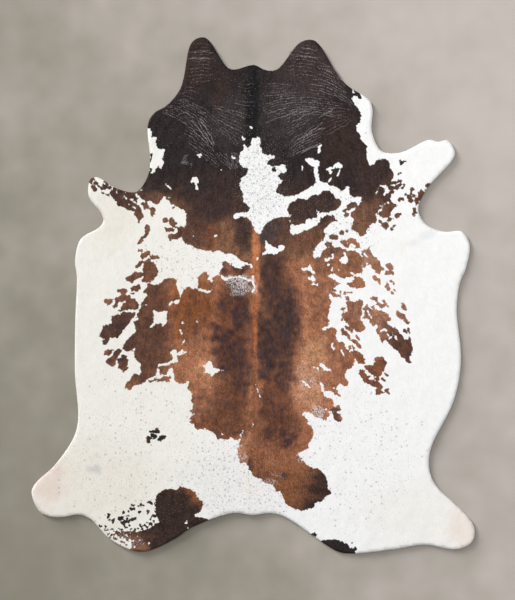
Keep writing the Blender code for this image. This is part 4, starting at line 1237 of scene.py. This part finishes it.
# %% [markdown]
# ## Locks of hair along lines
# A hide isn't clipped at its edge, so a fringe of short locks stands out past the leather
# all round. Locks stand up along the neck's creases too, where they catch the low light,
# and a painted highlight makes them rows of bright dashes. One Geometry Nodes tree makes
# both: it walks a line, sets a thin three-sided lock every few millimetres, and points it
# the way that is stored on the line, with a random lean and length.

# %% Geometry Nodes tree for locks
LOCK_SIDES = 3
SHORTEST_SHARE = 0.35
LOCK_INPUTS = {
    "Geometry": "Geometry", "Spacing": "Float", "Length": "Float", "Width": "Float",
    "Tuck": "Float", "Least Lean": "Vector", "Most Lean": "Vector", "Material": "Material",
}


def locks_tree(name, along_lines):
    """Locks along lines, or on bare points, that carry a heading."""
    tree = bpy.data.node_groups.new(name, "GeometryNodeTree")
    for label, kind in LOCK_INPUTS.items():
        tree.interface.new_socket(label, in_out="INPUT", socket_type="NodeSocket" + kind)
    tree.interface.new_socket("Geometry", in_out="OUTPUT", socket_type="NodeSocketGeometry")
    given = add(tree, "NodeGroupInput").outputs
    if along_lines:
        line = add(tree, "GeometryNodeMeshToCurve", {0: given["Geometry"]})
        spaced = {"Curve": line, "Length": given["Spacing"]}
        points = add(tree, "GeometryNodeCurveToPoints", spaced, mode="LENGTH")
    else:
        points = add(tree, "GeometryNodeMeshToPoints", {"Mesh": given["Geometry"]})
    named = {"Name": "heading"}
    way = add(tree, "GeometryNodeInputNamedAttribute", named, data_type="FLOAT_VECTOR")
    back = add(tree, "ShaderNodeMath", {0: given["Tuck"], 1: -1.0}, operation="MULTIPLY")
    tuck = add(tree, "ShaderNodeVectorMath", {0: way, "Scale": back}, operation="SCALE")
    roots = add(tree, "GeometryNodeSetPosition", {"Geometry": points, "Offset": tuck})
    leans = {0: given["Least Lean"], 1: given["Most Lean"], "Seed": 11}
    lean = add(tree, "FunctionNodeRandomValue", leans, data_type="FLOAT_VECTOR")
    heading = add(tree, "ShaderNodeVectorMath", {0: way, 1: lean}, operation="ADD")
    turn = add(tree, "FunctionNodeAlignRotationToVector", {"Vector": heading}, axis="Z")
    shares = {2: SHORTEST_SHARE, 3: 1.0, "Seed": 12}
    share = add(tree, "FunctionNodeRandomValue", shares, data_type="FLOAT").outputs[1]
    length = add(tree, "ShaderNodeMath", {0: given["Length"], 1: share}, operation="MULTIPLY")
    flat = add(tree, "ShaderNodeMath", {0: given["Width"], 1: 0.5}, operation="MULTIPLY")
    size = add(tree, "ShaderNodeCombineXYZ", {"X": given["Width"], "Y": flat, "Z": length})
    shape = {"Vertices": LOCK_SIDES, "Radius Top": 0.0, "Radius Bottom": 0.5, "Depth": 1.0}
    lock = add(tree, "GeometryNodeMeshCone", shape)
    set_out = {"Points": roots, "Instance": lock, "Rotation": turn, "Scale": size}
    placed = add(tree, "GeometryNodeInstanceOnPoints", set_out)
    real = add(tree, "GeometryNodeRealizeInstances", {0: placed})
    finish = {"Geometry": real, "Material": given["Material"]}
    coloured = add(tree, "GeometryNodeSetMaterial", finish)
    add(tree, "NodeGroupOutput", {0: coloured})
    return tree


def hair_line(name, points, links, headings):
    """A mesh of bare points and edges that carry a heading and their own place."""
    mesh = bpy.data.meshes.new(name)
    mesh.from_pydata(points.tolist(), links, [])
    for kept, numbers in (("heading", headings), ("root", points)):
        attribute = mesh.attributes.new(kept, "FLOAT_VECTOR", "POINT")
        attribute.data.foreach_set("vector", numbers.ravel())
    return mesh


def grown(name, base, tree, sizes):
    """What the tree makes on the base mesh, as a plain mesh object of that name."""
    holder = bpy.data.objects.new(name, base)
    bpy.context.scene.collection.objects.link(holder)
    modifier = holder.modifiers.new("grow", "NODES")
    modifier.node_group = tree
    for socket in tree.interface.items_tree:
        if socket.in_out == "INPUT" and socket.name in sizes:
            modifier[socket.identifier] = sizes[socket.name]
    seen = holder.evaluated_get(bpy.context.evaluated_depsgraph_get())
    mesh = bpy.data.meshes.new_from_object(seen)
    holder.modifiers.remove(modifier)
    holder.data = mesh
    return holder


line_locks = locks_tree("locks along lines", True)
print("tree of", len(line_locks.nodes), "nodes")

# %% Grow the hair at the rim
rim_count = len(outline)
rim_links = [(i, (i + 1) % rim_count) for i in range(rim_count)]
rim_points = np.c_[outline, vertices[upper_rim, 2]]
rim_line = hair_line("rim_line", rim_points, rim_links, np.c_[outward, np.zeros(rim_count)])
edge_hair = grown("edge_hair", rim_line, line_locks, {
    "Spacing": 2.3 * MM, "Length": 9 * MM, "Width": 2.2 * MM, "Tuck": 4.5 * MM,
    "Least Lean": (-0.8, -0.8, -0.26), "Most Lean": (0.8, 0.8, 0.16), "Material": coat_material,
})
print("edge hair:", len(edge_hair.data.polygons), "faces")

# %% Grow the hair on the creases
STAND_UP = 0.3


def down_hide(places, rise):
    """The way hair lies at each place, with so much rise on each unit of way."""
    away = places - np.array([0, COMB_FROM])
    return np.c_[away / np.hypot(*away.T)[:, None], np.full(len(places), rise)]


def crease_line_mesh():
    """All the creases as one mesh of edges, with hair that points down the hide and up."""
    places = np.vstack([line for _, line in creases])
    links = [(i, i + 1) for i in range(len(places) - 1) if (i + 1) % LINE_PARTS]
    points = np.c_[places, hair_side_height(places)]
    mesh = hair_line("crease_lines", points, links, down_hide(places, STAND_UP))
    strengths = np.repeat([strength for strength, _ in creases], LINE_PARTS)
    mesh.attributes.new("strength", "FLOAT", "POINT").data.foreach_set("value", strengths)
    return mesh


crease_hair = grown("crease_hair", crease_line_mesh(), line_locks, {
    "Spacing": 2.2 * MM, "Length": 7 * MM, "Width": 2.6 * MM, "Tuck": 2.0 * MM,
    "Least Lean": (-0.6, -0.4, -0.2), "Most Lean": (0.6, 0.4, 0.2), "Material": coat_material,
})
print("crease hair:", len(crease_hair.data.polygons), "faces")

# %% [markdown]
# ## The pile
# The coat itself is short hair that lies flat. Modelling every hair would take millions of
# them, so a flat lock stands for a few hundred hairs that lie together. One piece fringes
# the borders between the coats, where single locks can be told apart, and three cover the
# rest. The same function builds their tree, which takes bare points instead of lines.

# %% Grow the pile
FRINGE_BAND = 5.0 * MM
FRINGE_STEP, PILE_STEP = 3.9 * MM, 6.0 * MM
JITTER_SHARE = 0.4
RIM_CLEAR = 2 * MM
PILE_RISE, PILE_SUNK = 0.14, 0.2 * MM
CENTRING = 0.34
FRINGE_LOCK_MM, PILE_LOCK_MM = (9, 2.3), (12, 3.4)
Pile = namedtuple("Pile", "name foot head")
PILES = (
    Pile("fore_pile", 0.3, 1.2), Pile("middle_pile", -0.35, 0.3), Pile("hind_pile", -1.2, -0.35),
)
point_locks = locks_tree("locks on points", False)


def jittered(step, wanted, seed):
    """A lattice's places, each shifted a little, that still lie inside the rim."""
    places, far = lattice(step, wanted), JITTER_SHARE * step
    moved = places + np.random.default_rng(seed).uniform(-far, far, places.shape)
    return moved[read_sheet(rim_gap, moved) > RIM_CLEAR]


def pile(name, places, length_mm, width_mm):
    """A piece of lying locks, each with its middle near its place."""
    points = np.c_[places, hair_side_height(places) - PILE_SUNK]
    base = hair_line(name + "_roots", points, [], down_hide(places, PILE_RISE))
    return grown(name, base, point_locks, {
        "Length": length_mm * MM, "Width": width_mm * MM, "Tuck": CENTRING * length_mm * MM,
        "Least Lean": (-0.3, -0.1, -0.08), "Most Lean": (0.3, 0.1, 0.1), "Material": coat_material,
    })


def near_border(places):
    """True where a border between the coats is near."""
    return np.abs(read_sheet(patch_sheet, places)) < FRINGE_BAND


def between(places, foot, head):
    """The places from foot up to head along the backbone."""
    return places[(places[:, 1] >= foot) & (places[:, 1] < head)]


fringe_places = jittered(FRINGE_STEP, near_border, 41)
pile_places = jittered(PILE_STEP, lambda places: ~near_border(places), 42)
border_fringe = pile("border_fringe", fringe_places, *FRINGE_LOCK_MM)
piles = [
    pile(part.name, between(pile_places, part.foot, part.head), *PILE_LOCK_MM)
    for part in PILES
]
for piece in (border_fringe, *piles):
    print(piece.name, len(piece.data.polygons), "faces")

# %% [markdown]
# ## Colour and map of the locks
# Every lock has one colour from root to tip: that of the spot on the hide that it was set
# on. On the bake map each lock gets a small square of its own. Its three long sides share
# one corner of the square and its foot has the other, so that no two faces lie on one
# another.

# %% Give the locks their coat and map
FLOOR_GAP = 0.2 * MM
LOCK_PAINTED_SHINE = 0.85
LOCK_POINTS, LOCK_TIP = 4, 0
SIDES_ON_MAP = np.array([[0.08, 0.08], [0.84, 0.08], [0.08, 0.84], [0.33, 0.33]])
FOOT_ON_MAP = np.array([[0.94, 0.36], [0.94, 0.94], [0.36, 0.94], [0.7, 0.7]])


def numbers_of(items, field, width, kind=float):
    """A field of a mesh's items as rows of numbers."""
    numbers = np.empty(width * len(items), kind)
    items.foreach_get(field, numbers)
    return numbers.reshape(-1, width)


def map_locks(mesh):
    """A square of the map for each lock."""
    corners = numbers_of(mesh.loops, "vertex_index", 1, int).ravel()
    lock, point = corners // LOCK_POINTS, corners % LOCK_POINTS
    order = np.where(point == LOCK_TIP, 3, (point - (point > LOCK_TIP)) % 3)
    has_tip = (point.reshape(-1, 3) == LOCK_TIP).any(1).repeat(3)
    inside = np.where(has_tip[:, None], SIDES_ON_MAP[order], FOOT_ON_MAP[order])
    side = int(np.ceil(np.sqrt(lock.max() + 1)))
    add_bake_map(mesh, (np.stack([lock % side, lock // side], 1) + inside) / side)


def finish_locks(piece, painted_shine):
    """Keep the locks off the floor and give them their coat and their map."""
    mesh = piece.data
    places = numbers_of(mesh.vertices, "co", 3)
    places[:, 2] = np.maximum(places[:, 2], FLOOR_GAP)
    mesh.vertices.foreach_set("co", places.ravel())
    give_coat(mesh, numbers_of(mesh.attributes["root"].data, "vector", 3)[:, :2], painted_shine)
    map_locks(mesh)
    mesh.update()
    print(piece.name, "from", places.min(0).round(4), "to", places.max(0).round(4))


# The crease locks also carry a painted highlight, stronger on stronger creases.
strengths = numbers_of(crease_hair.data.attributes["strength"].data, "value", 1).ravel()
finish_locks(crease_hair, LOCK_PAINTED_SHINE * strengths)
for piece in (edge_hair, border_fringe, *piles):
    finish_locks(piece, 0.0)

# %% [markdown]
# ## Floor and light
# The rug lies on a plain pale floor. One low soft light from the upper left wakes up the
# creases. A rim of a few millimetres throws hardly any shadow, so a still lower light, linked
# to the floor alone, draws the shadow out to the right and below. The floor's own colours are
# darker than they look, because that light brightens them. A pale sky fills the rest.

# %% Floor
# Trowelled screed is matt, with soft clouds of a lighter and a darker grey. On top of that
# it is painted lighter towards the upper right and darker towards the lower left, a painted
# falloff of the light.
HALF_FLOOR = 12.0
FLOOR_DROP = 0.3 * MM
PAINTED_FALLOFF_WAY = (0.27, 0.12, 0.0)
SCREED, SCREED_PALE = paint("#666255"), paint("#98918b")
FLOOR_CORNERS = [(-HALF_FLOOR, -HALF_FLOOR, 0), (HALF_FLOOR, -HALF_FLOOR, 0),
                 (HALF_FLOOR, HALF_FLOOR, 0), (-HALF_FLOOR, HALF_FLOOR, 0)]

floor_material, tree = new_material("pale floor, smooth screed")
place = add(tree, "ShaderNodeTexCoord").outputs["Object"]
falloff_inputs = {0: place, 1: PAINTED_FALLOFF_WAY}
painted_falloff = add(tree, "ShaderNodeVectorMath", falloff_inputs, operation="DOT_PRODUCT").outputs["Value"]
broad, small = (lumpy(tree, place, size_mm, size_mm) for size_mm in (500, 130))
clouds_and_painted_falloff = sum_of(tree, painted_falloff, (broad, 0.6), (small, 0.45))
floor_colour = laid_over(tree, SCREED, SCREED_PALE, clouds_and_painted_falloff, -0.62, 0.62)
finish_material(tree, {"Base Color": floor_colour, "Roughness": 0.85})
floor_mesh = bpy.data.meshes.new("floor")
floor_mesh.from_pydata(FLOOR_CORNERS, [], [(0, 1, 2, 3)])
floor_mesh.materials.append(floor_material)
floor = bpy.data.objects.new("floor", floor_mesh)
floor.location.z = -FLOOR_DROP
bpy.context.scene.collection.objects.link(floor)
print("floor:", 2 * HALF_FLOOR, "metres wide")

# %% Lights and sky
SKY, SKY_STRENGTH = paint("#f4f4f6"), 0.62


def add_light(name, kind, place, energy, **settings):
    """A light at a place that shines towards the middle of the hide."""
    data = bpy.data.lights.new(name, kind)
    data.energy = energy
    for key, value in settings.items():
        setattr(data, key, value)
    light = bpy.data.objects.new(name, data)
    light.location = place
    light.rotation_euler = (-Vector(place)).to_track_quat("-Z", "Y").to_euler()
    bpy.context.scene.collection.objects.link(light)
    return light


add_light("low light, upper left", "SUN", place=(-4.0, 3.0, 1.6), energy=2.3, angle=0.22)
lit_floor = bpy.data.collections.new("lit by the rim light")
lit_floor.objects.link(floor)
rim_light = add_light(
    "lowest light, for the floor", "SUN", place=(-4.0, 4.0, 0.5), energy=25.0, angle=0.13
)
rim_light.light_linking.receiver_collection = lit_floor
add_light(
    "soft light overhead", "AREA", place=(1.5, 2.5, 4.5), energy=90,
    size=3.5, color=(1.0, 0.985, 0.96),
)
world = bpy.data.worlds.new("pale sky")
world.use_nodes = True
sky = world.node_tree.nodes["Background"].inputs
sky["Color"].default_value = SKY
sky["Strength"].default_value = SKY_STRENGTH
bpy.context.scene.world = world
bpy.context.scene.view_settings.view_transform = "Standard"

# %% [markdown]
# ## Tie the pieces to the frame
# All pieces belong to the rug's one body and stand for its one solid.

# %% Ride and replace
locks_on_it = [edge_hair, crease_hair, border_fringe, *piles]
for piece in (hide, *locks_on_it):
    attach(piece, "root")
    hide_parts("hide")
